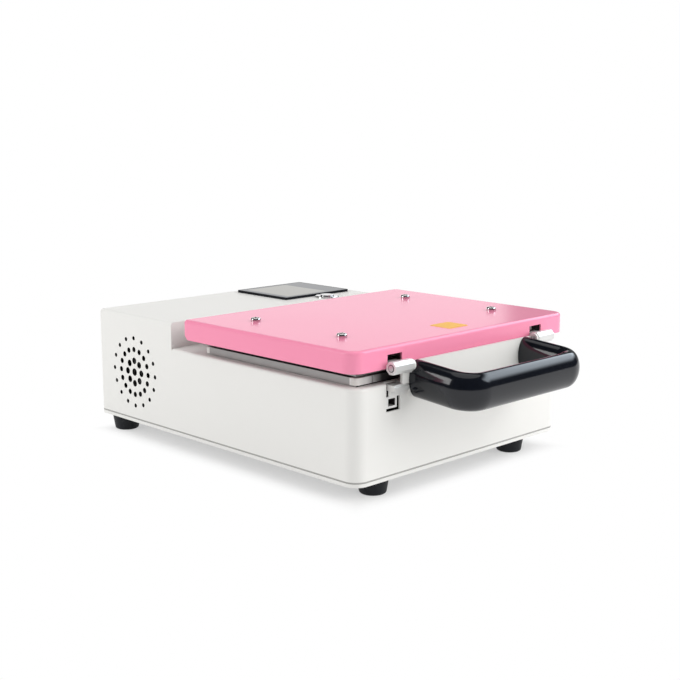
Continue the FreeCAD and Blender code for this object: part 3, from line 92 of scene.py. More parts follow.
def noise(tree, place, scale, detail):
    """Noise pattern over a piece; returns its value."""
    node = tree.nodes.new("ShaderNodeTexNoise")
    node.inputs["Detail"].default_value = detail
    tree.links.new(place, node.inputs["Vector"])
    feed(tree, node.inputs["Scale"], scale)
    return node.outputs["Fac"]


def put_out(group, leave, **results):
    """Joins a group's results to its outputs."""
    for label, result in results.items():
        group.links.new(result, leave[label])


coat_skin, entry, leave = start_group(
    "coat_skin",
    {"Ripple Scale": 900.0, "Cloud Scale": 14.0, "Base Roughness": 0.4, "Roughness Spread": 0.06},
    ("Cloud", "Roughness", "Height"),
)
place = object_place(coat_skin)
ripple = noise(coat_skin, place, entry["Ripple Scale"], detail=3.0)
cloud = noise(coat_skin, place, entry["Cloud Scale"], detail=4.0)
roughness = math_node(coat_skin, "MULTIPLY_ADD", cloud, entry["Roughness Spread"], entry["Base Roughness"])
put_out(coat_skin, leave, Cloud=cloud, Roughness=roughness, Height=ripple)


def start_material(name):
    """New material; returns it with its node tree and its shader."""
    material = bpy.data.materials.new(name)
    material.use_nodes = True
    tree = material.node_tree
    return material, tree, tree.nodes["Principled BSDF"]


def place_group(tree, group, **values):
    """Puts a group into a material with its own input values; returns its outputs."""
    node = tree.nodes.new("ShaderNodeGroup")
    node.node_tree = group
    for label, value in values.items():
        node.inputs[label.replace("_", " ")].default_value = value
    return node.outputs


def shade_of(colour, amount):
    """The same colour, darker or paler by a factor."""
    return tuple(channel * amount for channel in colour)


def tint(tree, factor, low, high):
    """Colour that runs from low to high with a factor."""
    mix = tree.nodes.new("ShaderNodeMix")
    mix.data_type = "RGBA"
    for label, value in (("Factor", factor), ("A", low), ("B", high)):
        feed(tree, mix.inputs[label], value)
    return mix.outputs["Result"]


def raise_bump(tree, shader, height, distance, strength):
    """Feeds a height into the shader's normal."""
    bump = tree.nodes.new("ShaderNodeBump")
    bump.inputs["Distance"].default_value = distance
    bump.inputs["Strength"].default_value = strength
    tree.links.new(height, bump.inputs["Height"])
    tree.links.new(bump.outputs["Normal"], shader.inputs["Normal"])


def coat_material(name, colour, roughness):
    """Powder coat: an even colour with a faint cloud, satin roughness and a fine ripple."""
    material, tree, shader = start_material(name)
    skin = place_group(tree, coat_skin, Base_Roughness=roughness)
    clouded = tint(tree, skin["Cloud"], shade_of(colour, COAT_CLOUD), colour)
    feed(tree, shader.inputs["Base Color"], clouded)
    feed(tree, shader.inputs["Roughness"], skin["Roughness"])
    raise_bump(tree, shader, skin["Height"], RIPPLE_HEIGHT, RIPPLE_STRENGTH)
    return material


def set_shader(material, **values):
    """Sets plain numbers on a material's shader."""
    shader = material.node_tree.nodes["Principled BSDF"]
    for label, value in values.items():
        shader.inputs[label.replace("_", " ")].default_value = value


white_coat = coat_material("white_coat", WHITE_COAT, roughness=0.34)
set_shader(white_coat, Specular_IOR_Level=0.25)

# Painted shade: the walls of the grille's holes by the fan are dark, as the holes lie in shadow.
GRILLE_REACH = 0.032
HOLE_WALL_SHADE = (0.012, 0.013, 0.014)
HALF_TURNED = 0.5


def split(tree, vector):
    """X, Y and Z of a vector."""
    parts = tree.nodes.new("ShaderNodeSeparateXYZ")
    tree.links.new(vector, parts.inputs["Vector"])
    return parts.outputs


def face_direction(tree):
    """X, Y and Z of the way that a face points."""
    return split(tree, tree.nodes.new("ShaderNodeNewGeometry").outputs["True Normal"])


def within_reach(tree, spot, box, reach):
    """1 within a reach of the line along x through the middle of a box."""
    low, high = box
    across = math_node(tree, "SUBTRACT", spot["Y"], (low.y + high.y) / 2)
    above = math_node(tree, "SUBTRACT", spot["Z"], (low.z + high.z) / 2)
    squares = [math_node(tree, "MULTIPLY", offset, offset) for offset in (across, above)]
    return math_node(tree, "LESS_THAN", math_node(tree, "ADD", *squares), reach ** 2)


def paint_over(material, mask, colour):
    """Lays a colour over a material's own where a mask is 1."""
    tree = material.node_tree
    base = tree.nodes["Principled BSDF"].inputs["Base Color"]
    tree.links.new(tint(tree, mask, base.links[0].from_socket, colour), base)


tree = white_coat.node_tree
spot = split(tree, object_place(tree))
near_fan = within_reach(tree, spot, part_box("fan_frame"), GRILLE_REACH)
sideways = math_node(tree, "ABSOLUTE", face_direction(tree)["X"])
hole_wall = math_node(tree, "LESS_THAN", sideways, HALF_TURNED)
# Painted shade on the walls of the grille's holes.
paint_over(white_coat, math_node(tree, "MULTIPLY", near_fan, hole_wall), HOLE_WALL_SHADE)

# A thin line of painted shade and dust lies in the seam between the case and its base plate.
SEAM_HALF = 0.0006
SEAM_SHADE_AND_DUST = (0.42, 0.415, 0.40)

seam_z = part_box("case_shell")[0].z
off_seam = math_node(tree, "ABSOLUTE", math_node(tree, "SUBTRACT", spot["Z"], seam_z))
paint_over(white_coat, math_node(tree, "LESS_THAN", off_seam, SEAM_HALF), SEAM_SHADE_AND_DUST)


def put_on(piece, material):
    """Gives a piece one finish in place of what it had."""
    piece.data.materials.clear()
    piece.data.materials.append(material)


def dress(material, *names):
    """Gives one finish to CAD pieces."""
    for name in names:
        put_on(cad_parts[name], material)


dress(white_coat, "case_shell", "base_plate", "handle_plate")


# Feet: four tapered black rubber mouldings, each held up into the base plate by a screw and nut.
# The mould leaves a fine matt grain, and the rubber greys a little where it is handled.
FOOT_RUBBER = (0.006, 0.007, 0.009)
GRAIN_HEIGHT = 0.00005
GRAIN_STRENGTH = 0.6

moulded_grain, entry, leave = start_group(
    "moulded_grain", {"Grain Scale": 2200.0, "Bloom Scale": 60.0}, ("Bloom", "Height"))
place = object_place(moulded_grain)
grain = noise(moulded_grain, place, entry["Grain Scale"], detail=2.0)
bloom = noise(moulded_grain, place, entry["Bloom Scale"], detail=5.0)
put_out(moulded_grain, leave, Bloom=bloom, Height=grain)


def moulded_material(name, colour, roughness, bloom):
    """Matt moulding: grain in the surface and a faint bloom that lightens the colour in patches."""
    material, tree, shader = start_material(name)
    skin = place_group(tree, moulded_grain)
    feed(tree, shader.inputs["Base Color"], tint(tree, skin["Bloom"], colour, shade_of(colour, bloom)))
    shader.inputs["Roughness"].default_value = roughness
    raise_bump(tree, shader, skin["Height"], GRAIN_HEIGHT, GRAIN_STRENGTH)
    return material


foot_rubber = moulded_material("foot_rubber", FOOT_RUBBER, roughness=0.5, bloom=1.7)
set_shader(foot_rubber, Specular_IOR_Level=0.25)
dress(foot_rubber, "rubber_feet")


# Small steel fasteners and hinge pieces: pressed or turned steel with bright zinc plating.
# The plating is slightly blotchy, and turning leaves it a little rough.
ZINC = (0.66, 0.66, 0.67)
BLOTCH_SCALE = 120.0
BLOTCH_SHADE = 0.93
LINE_HEIGHT = 0.00002

metal_surface, entry, leave = start_group(
    "metal_surface",
    {"Line Scale": 1800.0, "Line Stretch": 0.03, "Base Roughness": 0.25, "Roughness Spread": 0.2},
    ("Blotch", "Roughness", "Height"),
)
place = object_place(metal_surface)
stretch = metal_surface.nodes.new("ShaderNodeCombineXYZ")
for label, value in (("X", entry["Line Stretch"]), ("Y", 1.0), ("Z", 1.0)):
    feed(metal_surface, stretch.inputs[label], value)
drawn_out = metal_surface.nodes.new("ShaderNodeVectorMath")
drawn_out.operation = "MULTIPLY"
metal_surface.links.new(place, drawn_out.inputs[0])
metal_surface.links.new(stretch.outputs["Vector"], drawn_out.inputs[1])
lines = noise(metal_surface, drawn_out.outputs["Vector"], entry["Line Scale"], detail=3.0)
blotch = noise(metal_surface, place, BLOTCH_SCALE, detail=2.0)
roughness = math_node(
    metal_surface, "MULTIPLY_ADD", lines, entry["Roughness Spread"], entry["Base Roughness"])
put_out(metal_surface, leave, Blotch=blotch, Roughness=roughness, Height=lines)


def metal_material(name, colour, roughness, spread, stretch, bump):
    """Bare or plated metal: drawn-out polishing lines and faint blotches."""
    material, tree, shader = start_material(name)
    skin = place_group(
        tree, metal_surface, Base_Roughness=roughness, Roughness_Spread=spread, Line_Stretch=stretch)
    blotched = tint(tree, skin["Blotch"], shade_of(colour, BLOTCH_SHADE), colour)
    feed(tree, shader.inputs["Base Color"], blotched)
    feed(tree, shader.inputs["Roughness"], skin["Roughness"])
    shader.inputs["Metallic"].default_value = 1.0
    raise_bump(tree, shader, skin["Height"], LINE_HEIGHT, bump)
    return material


zinc_plate = metal_material("zinc_plate", ZINC, roughness=0.22, spread=0.2, stretch=1.0, bump=0.2)
dress(
    zinc_plate,
    "foot_screws", "foot_nuts", "base_screws", "platen_standoffs", "lid_spacers",
    "hinge_bracket_left", "hinge_bracket_right", "hinge_leaf_left", "hinge_leaf_right", "hinge_pins",
    "bracket_screws", "leaf_screws", "grip_screws", "board_standoffs", "inlet_screws",
    "button_nut", "latch_pins",
)

# The fan's studs and nuts are blackened instead.
BLACK_OXIDE_AND_SHADE = (0.018, 0.018, 0.02)

black_oxide_and_shade = metal_material("black_oxide_and_shade", BLACK_OXIDE_AND_SHADE, roughness=0.4, spread=0.2, stretch=1.0, bump=0.2)
dress(black_oxide_and_shade, "fan_studs", "fan_nuts")


# Heating chamber: a folded stainless tub, a ground rim bar round its mouth and the lid's pan.
# The sheet keeps its mill grain, which runs along the longer sides.
STAINLESS = (0.40, 0.385, 0.38)


def chamber_steel(name):
    """The chamber's stainless sheet with its mill grain."""
    return metal_material(name, STAINLESS, roughness=0.3, spread=0.25, stretch=0.03, bump=0.35)


dress(chamber_steel("stainless"), "upper_pan", "heater_carrier", "thermocouple_probe")

# Painted shade on the outside of the tub's front wall, which shows through the latch openings in the case.
TUB_FRONT_SHADE = (0.02, 0.019, 0.019)

tub_metal = chamber_steel("tub_metal")
tree = tub_metal.node_tree
tub_low, tub_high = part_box("chamber_tub")
spot = split(tree, object_place(tree))
front_half = math_node(tree, "LESS_THAN", spot["Y"], (tub_low.y + tub_high.y) / 2)
forward = math_node(tree, "LESS_THAN", face_direction(tree)["Y"], -HALF_TURNED)
paint_over(tub_metal, math_node(tree, "MULTIPLY", front_half, forward), TUB_FRONT_SHADE)
dress(tub_metal, "chamber_tub")

# The rim's front bar has painted light, near white and less metallic at its ends, and painted shade between
# the latches.
FRONT_BAR_DEPTH = 0.006
FRONT_BAR_LIGHT = (0.80, 0.79, 0.775)
FRONT_BAR_METALLIC = 0.35
BAR_SHADE_START = 0.094
BAR_SHADE_FULL = 0.080
BAR_SHADE_COLOUR = (0.03, 0.029, 0.03)


def map_range(tree, value, start, end, low=0.0, high=1.0, smooth=False):
    """Number that runs from low to high while a value goes from start to end."""
    node = tree.nodes.new("ShaderNodeMapRange")
    node.interpolation_type = "SMOOTHSTEP" if smooth else "LINEAR"
    for label, number in (("From Min", start), ("From Max", end), ("To Min", low), ("To Max", high)):
        node.inputs[label].default_value = number
    tree.links.new(value, node.inputs["Value"])
    return node.outputs["Result"]


rim_metal = chamber_steel("rim_metal")
tree = rim_metal.node_tree
spot = split(tree, object_place(tree))
rim_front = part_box("chamber_rim")[0].y
front_bar = math_node(tree, "LESS_THAN", spot["Y"], rim_front + FRONT_BAR_DEPTH)
# Painted light on the front bar, then painted shade towards the latches.
paint_over(rim_metal, front_bar, FRONT_BAR_LIGHT)
bar_shade = map_range(tree, math_node(tree, "ABSOLUTE", spot["X"]), BAR_SHADE_START, BAR_SHADE_FULL)
paint_over(rim_metal, math_node(tree, "MULTIPLY", front_bar, bar_shade), BAR_SHADE_COLOUR)
less_metal = math_node(tree, "MULTIPLY", front_bar, 1.0 - FRONT_BAR_METALLIC)
metallic = math_node(tree, "SUBTRACT", 1.0, less_metal)
feed(tree, tree.nodes["Principled BSDF"].inputs["Metallic"], metallic)
dress(rim_metal, "chamber_rim")


# Platen: a milled aluminium plate that stands on four posts in the tub.
# The cutter leaves fine lines across its top.
PLATEN = (0.62, 0.62, 0.63)

platen_finish = metal_material("platen_finish", PLATEN, roughness=0.3, spread=0.2, stretch=0.02, bump=0.5)
dress(platen_finish, "heated_platen")


# Seal and corner blocks: white silicone rubber, which stands the chamber's heat.
# Both are cut to length and pushed into the rim.
SILICONE = (0.74, 0.73, 0.70)

white_silicone = moulded_material("white_silicone", SILICONE, roughness=0.55, bloom=1.04)
dress(white_silicone, "rim_corner_pieces", "rim_seal")


# Heater mats: red-brown silicone with glass cloth moulded in.
# One is bonded to the platen and one to the lid's pan.
HEATER_MAT = (0.32, 0.055, 0.03)

heater_mat = moulded_material("heater_mat", HEATER_MAT, roughness=0.6, bloom=1.3)
dress(heater_mat, "lower_heater", "upper_heater")


# Insulation: pressed mineral-fibre board, cut to size.
# One block is packed under the tub and one over the lid's pan.
FIBRE = (0.55, 0.47, 0.30)

fibre_board = moulded_material("fibre_board", FIBRE, roughness=0.9, bloom=1.4)
dress(fibre_board, "lower_insulation", "upper_insulation")


# Fan, mains inlet, display case, button block, relay and capacitors: matt black engineering plastic.
# They are injection moulded, and the mould's fine texture shows on them.
BLACK_PLASTIC = (0.014, 0.014, 0.015)

black_plastic = moulded_material("black_plastic", BLACK_PLASTIC, roughness=0.5, bloom=1.5)
dress(
    black_plastic,
    "fan_frame", "fan_rotor", "mains_inlet", "display_module", "button_block",
    "solid_state_relay", "board_capacitors",
)


# Vent screen: a blackened steel angle, spot welded inside the rear wall over its slots.
# It lets the air round its edges and hides the inside of the case.
ANGLE_GAUGE = 0.0006
ANGLE_EDGE = 0.3 * ANGLE_GAUGE
ANGLE_EDGE_STEPS = 2
VENT_LEFT = -0.076
VENT_RIGHT = -0.014
VENT_LOW = 0.030
VENT_TOP = 0.078
VENT_FROM_REAR = 0.0075
VENT_FLANGE = 0.0058


def select_only(*pieces):
    """Selects these pieces and no others, with the first one active."""
    bpy.ops.object.select_all(action="DESELECT")
    for piece in pieces:
        piece.select_set(True)
    bpy.context.view_layer.objects.active = pieces[0]


def lone_object(name):
    """The object that an operator has just made, named and alone in the selection."""
    made = bpy.context.object
    select_only(made)
    made.name = name
    made.data.name = name
    return made


def settle(piece):
    """Moves a piece's place, turn and scale into its mesh."""
    select_only(piece)
    bpy.ops.object.transform_apply(location=True, rotation=True, scale=True)


def apply_modifier(piece, kind, **settings):
    """Adds a modifier, sets it and applies it."""
    select_only(piece)
    modifier = piece.modifiers.new(kind.lower(), kind)
    for label, value in settings.items():
        setattr(modifier, label, value)
    bpy.ops.object.modifier_apply(modifier=modifier.name)


def pick_edges_above(piece, height):
    """Goes to edit mode with the edges selected that lie wholly above a height."""
    bpy.ops.object.mode_set(mode="EDIT")
    bpy.ops.mesh.select_mode(type="EDGE")
    bpy.ops.mesh.select_all(action="DESELECT")
    bpy.ops.object.mode_set(mode="OBJECT")
    for edge in piece.data.edges:
        edge.select = all(piece.data.vertices[end].co.z > height for end in edge.vertices)
    bpy.ops.object.mode_set(mode="EDIT")


def folded_angle(name, middle_x, y, width, low, top, flange):
    """Sheet angle: an upright wall across x with a flange along y at its top edge."""
    middle = (middle_x, y, (low + top) / 2)
    bpy.ops.object.select_all(action="DESELECT")
    bpy.ops.mesh.primitive_plane_add(size=1, location=middle, rotation=(math.pi / 2, 0, 0))
    angle = lone_object(name)
    angle.scale = (width, top - low, 1)
    settle(angle)
    pick_edges_above(angle, (low + top) / 2)
    bpy.ops.mesh.extrude_edges_move(TRANSFORM_OT_translate={"value": (0, flange, 0)})
    bpy.ops.object.mode_set(mode="OBJECT")
    apply_modifier(angle, "SOLIDIFY", thickness=ANGLE_GAUGE, offset=0)
    apply_modifier(angle, "BEVEL", width=ANGLE_EDGE, segments=ANGLE_EDGE_STEPS, limit_method="ANGLE")
    return angle


vent_middle = (VENT_LEFT + VENT_RIGHT) / 2
vent_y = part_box("case_shell")[1].y - VENT_FROM_REAR
vent_screen = folded_angle(
    "vent_screen", vent_middle, vent_y, VENT_RIGHT - VENT_LEFT, VENT_LOW, VENT_TOP, VENT_FLANGE)
put_on(vent_screen, black_oxide_and_shade)
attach(vent_screen, "case")


# Circuit boards: glass-fibre laminate under green solder mask.
# The control board stands on standoffs and carries a terminal block in paler green plastic.
SOLDER_MASK = (0.012, 0.10, 0.035)
TERMINAL_GREEN = (0.03, 0.22, 0.07)

solder_mask = moulded_material("solder_mask", SOLDER_MASK, roughness=0.3, bloom=1.4)
dress(solder_mask, "control_board", "display_board")
terminal_green = moulded_material("terminal_green", TERMINAL_GREEN, roughness=0.45, bloom=1.2)
dress(terminal_green, "terminal_block")


# Mains blades: stamped from brass strip.
# They are pressed into the inlet's moulding, whose walls hold them.
BRASS = (0.70, 0.52, 0.24)

brass = metal_material("brass", BRASS, roughness=0.2, spread=0.15, stretch=1.0, bump=0.2)
dress(brass, "inlet_blades")


# Lid: sheet steel, folded and coated as the case is, in a glossier pink.
# It hangs on the two hinges at its rear edge and carries the upper heater.
PINK_COAT = (0.915, 0.292, 0.445)

pink_coat = coat_material("pink_coat", PINK_COAT, roughness=0.16)
set_shader(pink_coat, Specular_IOR_Level=0.32)
dress(pink_coat, "lid_shell")


# Latch: zinc die castings for the barrels, hooks and keepers, finished in satin silver lacquer.
# The lacquer scatters light, so they look nearly white.
SATIN_SILVER = (0.82, 0.82, 0.805)
SATIN_METAL = 0.4


def satin_casting(name):
    """Die casting under satin lacquer."""
    material = metal_material(name, SATIN_SILVER, roughness=0.3, spread=0.1, stretch=1.0, bump=0.03)
    set_shader(material, Metallic=SATIN_METAL)
    return material


dress(satin_casting("satin_silver"), "latch_hook_left", "latch_hook_right")

# The side walls inside the keepers' windows get painted shade.
KEEPER_FACE = 0.0006
DARK_SHADE_AND_JOINT = (0.07, 0.062, 0.065)

keeper_metal = satin_casting("keeper_metal")
tree = keeper_metal.node_tree
spot = split(tree, object_place(tree))
keeper_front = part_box("latch_keeper_left")[0].y
inside = math_node(tree, "GREATER_THAN", spot["Y"], keeper_front + KEEPER_FACE)
sideways = math_node(tree, "ABSOLUTE", face_direction(tree)["X"])
side_wall = math_node(tree, "GREATER_THAN", sideways, HALF_TURNED)
paint_over(keeper_metal, math_node(tree, "MULTIPLY", inside, side_wall), DARK_SHADE_AND_JOINT)
dress(keeper_metal, "latch_keeper_left", "latch_keeper_right")

# The posts behind the lid's front wall get painted shade, as they stand in the notches' shadow. The joint
# round each pin is dark too.
POST_SET_BACK = 0.005
PIN_JOINT = 0.0006

latch_post = satin_casting("latch_post")
tree = latch_post.node_tree
spot = split(tree, object_place(tree))
lid_low, lid_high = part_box("lid_shell")
behind_wall = math_node(tree, "GREATER_THAN", spot["Y"], lid_low.y + POST_SET_BACK)
paint_over(latch_post, behind_wall, DARK_SHADE_AND_JOINT)
pin_low, pin_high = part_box("latch_pins")
joint_radius = (pin_high.z - pin_low.z) / 2 + PIN_JOINT
paint_over(latch_post, within_reach(tree, spot, (pin_low, pin_high), joint_radius), DARK_SHADE_AND_JOINT)
dress(latch_post, "latch_bracket_left", "latch_bracket_right")


# Button: a turned brass barrel and cap, chromium plated and polished.
# A nut under the housing's top holds the barrel, and the cap slides in it.
CHROME = (0.80, 0.795, 0.79)

chrome = metal_material("chrome", CHROME, roughness=0.06, spread=0.06, stretch=1.0, bump=0.01)
dress(chrome, "button_barrel", "button_cap")


# Lid screws: four pan-head machine screws with a cross recess, in the button's bright chrome.
# They hold the heater pack under the lid through its spacers.
HEAD_RADIUS = 0.0038
HEAD_HEIGHT = 0.0027
HEAD_SIDES = 40
DOME_HEIGHT = 0.72 * HEAD_HEIGHT
DOME_STEPS = 7
DOME_PROFILE = 0.62
SHANK_RADIUS = 0.002
RECESS_LENGTH = 0.0042
RECESS_WIDTH = 0.0009
RECESS_DEPTH = 0.0013
SMOOTH_BELOW = math.radians(35)
SCREW_TURNS = (20, -35, 60, 5)


def pick_faces(piece, test):
    """Goes to edit mode with the faces selected that pass a test."""
    bpy.ops.object.mode_set(mode="EDIT")
    bpy.ops.mesh.select_mode(type="FACE")
    bpy.ops.mesh.select_all(action="DESELECT")
    bpy.ops.object.mode_set(mode="OBJECT")
    for face in piece.data.polygons:
        face.select = test(face)
    bpy.ops.object.mode_set(mode="EDIT")


def carve_block(piece, centre, size):
    """Cuts a block out of a piece."""
    bpy.ops.object.select_all(action="DESELECT")
    bpy.ops.mesh.primitive_cube_add(size=1, location=centre, scale=size)
    block = lone_object("recess")
    settle(block)
    apply_modifier(piece, "BOOLEAN", operation="DIFFERENCE", solver="EXACT", object=block)
    bpy.data.objects.remove(block, do_unlink=True)


def pan_screw(name, shank_length):
    """Pan-head screw standing on the origin: domed head, cross recess, plain shank below."""
    bpy.ops.object.select_all(action="DESELECT")
    bpy.ops.mesh.primitive_cylinder_add(
        vertices=HEAD_SIDES, radius=HEAD_RADIUS, depth=HEAD_HEIGHT, location=(0, 0, HEAD_HEIGHT / 2))
    head = lone_object(name)
    settle(head)
    pick_edges_above(head, HEAD_HEIGHT / 2)
    bpy.ops.mesh.bevel(offset=DOME_HEIGHT, segments=DOME_STEPS, profile=DOME_PROFILE)
    pick_faces(head, lambda face: face.normal.z < -HALF_TURNED)
    bpy.ops.mesh.inset(thickness=HEAD_RADIUS - SHANK_RADIUS)
    bpy.ops.mesh.extrude_region_move(TRANSFORM_OT_translate={"value": (0, 0, -shank_length)})
    bpy.ops.object.mode_set(mode="OBJECT")
    for length, width in ((RECESS_LENGTH, RECESS_WIDTH), (RECESS_WIDTH, RECESS_LENGTH)):
        carve_block(head, (0, 0, HEAD_HEIGHT), (length, width, 2 * RECESS_DEPTH))
    return head


def copy_to(pattern, name, place, turn):
    """Copy of a piece with its own mesh, turned about z and set at a place."""
    copy = pattern.copy()
    copy.data = pattern.data.copy()
    copy.name = name
    bpy.context.collection.objects.link(copy)
    copy.location = place
    copy.rotation_euler = (0, 0, math.radians(turn))
    settle(copy)
    bpy.ops.object.shade_smooth_by_angle(angle=SMOOTH_BELOW)
    return copy


def join_pieces(name, pieces):
    """Makes one piece of several."""
    select_only(*pieces)
    bpy.ops.object.join()
    return lone_object(name)


screw_low, screw_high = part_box("lid_screws")
screw_seat = screw_high.z - HEAD_HEIGHT
screw_xs = (screw_low.x + HEAD_RADIUS, screw_high.x - HEAD_RADIUS)
screw_ys = (screw_low.y + HEAD_RADIUS, screw_high.y - HEAD_RADIUS)
pattern = pan_screw("lid_screw", screw_seat - screw_low.z)
lid_screws = []
for number, turn in enumerate(SCREW_TURNS):
    seat = (screw_xs[number % 2], screw_ys[number // 2], screw_seat)
    lid_screws.append(copy_to(pattern, "lid_screw_%d" % (number + 1), seat, turn))
bpy.data.objects.remove(pattern, do_unlink=True)
lid_screw_set = join_pieces("lid_screw_set", lid_screws)
put_on(lid_screw_set, chrome)
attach(lid_screw_set, "lid")
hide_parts("lid_screws")


# Sticker: a plain patch of amber vinyl with rounded corners.
# It is die cut and stuck on the lid's top near the front.
STICKER_WIDTH = 0.0207
STICKER_DEPTH = 0.0193
STICKER_THICKNESS = 0.00018
STICKER_CORNER = 0.002
STICKER_CORNER_STEPS = 6
STICKER_X = 0.0061
STICKER_FROM_FRONT = 0.024
AMBER = (0.93, 0.50, 0.07)

sticker_place = (STICKER_X, lid_low.y + STICKER_FROM_FRONT, lid_high.z)
bpy.ops.object.select_all(action="DESELECT")
bpy.ops.mesh.primitive_plane_add(size=1, location=sticker_place)
sticker = lone_object("amber_sticker")
sticker.scale = (STICKER_WIDTH, STICKER_DEPTH, 1)
settle(sticker)
bpy.ops.object.mode_set(mode="EDIT")
bpy.ops.mesh.select_all(action="SELECT")
bpy.ops.mesh.bevel(offset=STICKER_CORNER, segments=STICKER_CORNER_STEPS, affect="VERTICES")
bpy.ops.mesh.select_all(action="SELECT")
bpy.ops.mesh.extrude_region_move(TRANSFORM_OT_translate={"value": (0, 0, STICKER_THICKNESS)})
bpy.ops.mesh.select_all(action="SELECT")
bpy.ops.mesh.normals_make_consistent(inside=False)
bpy.ops.object.mode_set(mode="OBJECT")
put_on(sticker, moulded_material("amber_vinyl", AMBER, roughness=0.42, bloom=1.06))
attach(sticker, "lid")


# Notch backs: two black sheet angles under the lid's top, one beside each latch post.
# They are painted shade: dark sheets that close the view through the lid's notches past the heater pan.
BACK_WIDTH = 0.013
BACK_GAP = 0.0003
BACK_FLANGE = 0.005
BACK_LOW = 0.0908
POST_OUTER = 0.0826

back_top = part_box("latch_bracket_right")[1].z - BACK_GAP
back_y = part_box("upper_pan")[0].y - BACK_GAP - ANGLE_GAUGE
back_x = POST_OUTER + BACK_GAP + BACK_WIDTH / 2
notch_backs = []
for middle_x in (-back_x, back_x):
    notch_backs.append(
        folded_angle("notch_back", middle_x, back_y, BACK_WIDTH, BACK_LOW, back_top, -BACK_FLANGE))
notch_back_pair = join_pieces("notch_back_pair", notch_backs)
put_on(notch_back_pair, black_oxide_and_shade)
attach(notch_back_pair, "lid")


# Grip: a U-shaped bar moulded in glossy black phenolic, screwed to the handle plate from behind.
# Its skin is polished in the mould and carries only a few soft hand marks.
PHENOLIC = (0.004, 0.005, 0.008)
MARK_PALER = 1.5

hand_marks, entry, leave = start_group(
    "hand_marks",
    {"Mark Scale": 30.0, "Base Roughness": 0.1, "Roughness Spread": 0.15},
    ("Marks", "Roughness"),
)
marks = noise(hand_marks, object_place(hand_marks), entry["Mark Scale"], detail=6.0)
roughness = math_node(hand_marks, "MULTIPLY_ADD", marks, entry["Roughness Spread"], entry["Base Roughness"])
put_out(hand_marks, leave, Marks=marks, Roughness=roughness)

phenolic, tree, shader = start_material("phenolic")
skin = place_group(tree, hand_marks, Base_Roughness=0.08, Roughness_Spread=0.08)
marked = tint(tree, skin["Marks"], PHENOLIC, shade_of(PHENOLIC, MARK_PALER))
feed(tree, shader.inputs["Base Color"], marked)
feed(tree, shader.inputs["Roughness"], skin["Roughness"])
dress(phenolic, "handle_grip")


# Display: a clear cover bonded over a pale screen that is off, with black printed behind its margins.
# The screen sits to the left, and the margin on the right is wide. A black moulded frame holds it.
SCREEN_OFF = (0.262, 0.255, 0.225)
MARGIN_PRINT = (0.006, 0.012, 0.026)
MARGIN_LEFT = 0.0055
MARGIN_RIGHT = 0.021
MARGIN_ENDS = 0.0042
FRAME_BLACK = (0.004, 0.005, 0.008)

display_cover, tree, shader = start_material("display_cover")
glass_low, glass_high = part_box("display_glass")
spot = split(tree, object_place(tree))
limits = (
    ("X", "GREATER_THAN", glass_low.x + MARGIN_LEFT),
    ("X", "LESS_THAN", glass_high.x - MARGIN_RIGHT),
    ("Y", "GREATER_THAN", glass_low.y + MARGIN_ENDS),
    ("Y", "LESS_THAN", glass_high.y - MARGIN_ENDS),
)
on_screen = 1.0
for label, test, limit in limits:
    passed = math_node(tree, test, spot[label], limit)
    on_screen = math_node(tree, "MULTIPLY", passed, on_screen)
feed(tree, shader.inputs["Base Color"], tint(tree, on_screen, MARGIN_PRINT, SCREEN_OFF))
skin = place_group(tree, hand_marks, Base_Roughness=0.03, Roughness_Spread=0.05)
feed(tree, shader.inputs["Roughness"], skin["Roughness"])
set_shader(display_cover, IOR=1.27)
dress(display_cover, "display_glass")

frame_black = moulded_material("frame_black", FRAME_BLACK, roughness=0.4, bloom=1.2)
set_shader(frame_black, Specular_IOR_Level=0.12)
dress(frame_black, "display_frame")


# Bench: a white sheet of paper under the oven, which takes only the soft shadow below the base plate.
# To the camera, in mirrors and through glass it is lit from behind, less so under the plate,
# and runs into the white room.
FLOOR_HALF = 4.0
PAPER = (0.86, 0.86, 0.86)
PAPER_GLOW = 0.46
GLOW_START = -0.014
GLOW_FULL = 0.010


def seen_ray(tree):
    """1 for a ray that shows a thing itself: from the camera, off a mirror or through glass."""
    ray = tree.nodes.new("ShaderNodeLightPath").outputs
    mirrored = math_node(tree, "MAXIMUM", ray["Is Glossy Ray"], ray["Is Transmission Ray"])
    return math_node(tree, "MAXIMUM", ray["Is Camera Ray"], mirrored)


def mix_shaders(tree, factor, first, second, surface):
    """Shader that goes from the first to the second with a factor, joined to a surface."""
    both = tree.nodes.new("ShaderNodeMixShader")
    for socket, value in zip(both.inputs, (factor, first, second)):
        tree.links.new(value, socket)
    tree.links.new(both.outputs["Shader"], surface)


bpy.ops.object.select_all(action="DESELECT")
bpy.ops.mesh.primitive_plane_add(size=2 * FLOOR_HALF, location=(0, 0, 0))
paper_sheet = lone_object("paper_sheet")
paper, tree, shader = start_material("paper")
feed(tree, shader.inputs["Base Color"], PAPER)
set_shader(paper, Roughness=0.9, Specular_IOR_Level=0.1)
plate_low, plate_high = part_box("base_plate")
spot = split(tree, object_place(tree))
outside_plate = -FLOOR_HALF
for axis, label in enumerate("XY"):
    plate_middle = (plate_low[axis] + plate_high[axis]) / 2
    plate_half = (plate_high[axis] - plate_low[axis]) / 2
    off_middle = math_node(tree, "ABSOLUTE", math_node(tree, "SUBTRACT", spot[label], plate_middle))
    past_edge = math_node(tree, "SUBTRACT", off_middle, plate_half)
    outside_plate = math_node(tree, "MAXIMUM", past_edge, outside_plate)
glow = map_range(tree, outside_plate, GLOW_START, GLOW_FULL, low=PAPER_GLOW, smooth=True)
glow_seen = math_node(tree, "MULTIPLY", glow, seen_ray(tree))
lit = tree.nodes.new("ShaderNodeEmission").outputs["Emission"]
mix_shaders(tree, glow_seen, shader.outputs["BSDF"], lit, tree.nodes["Material Output"].inputs["Surface"])
put_on(paper_sheet, paper)


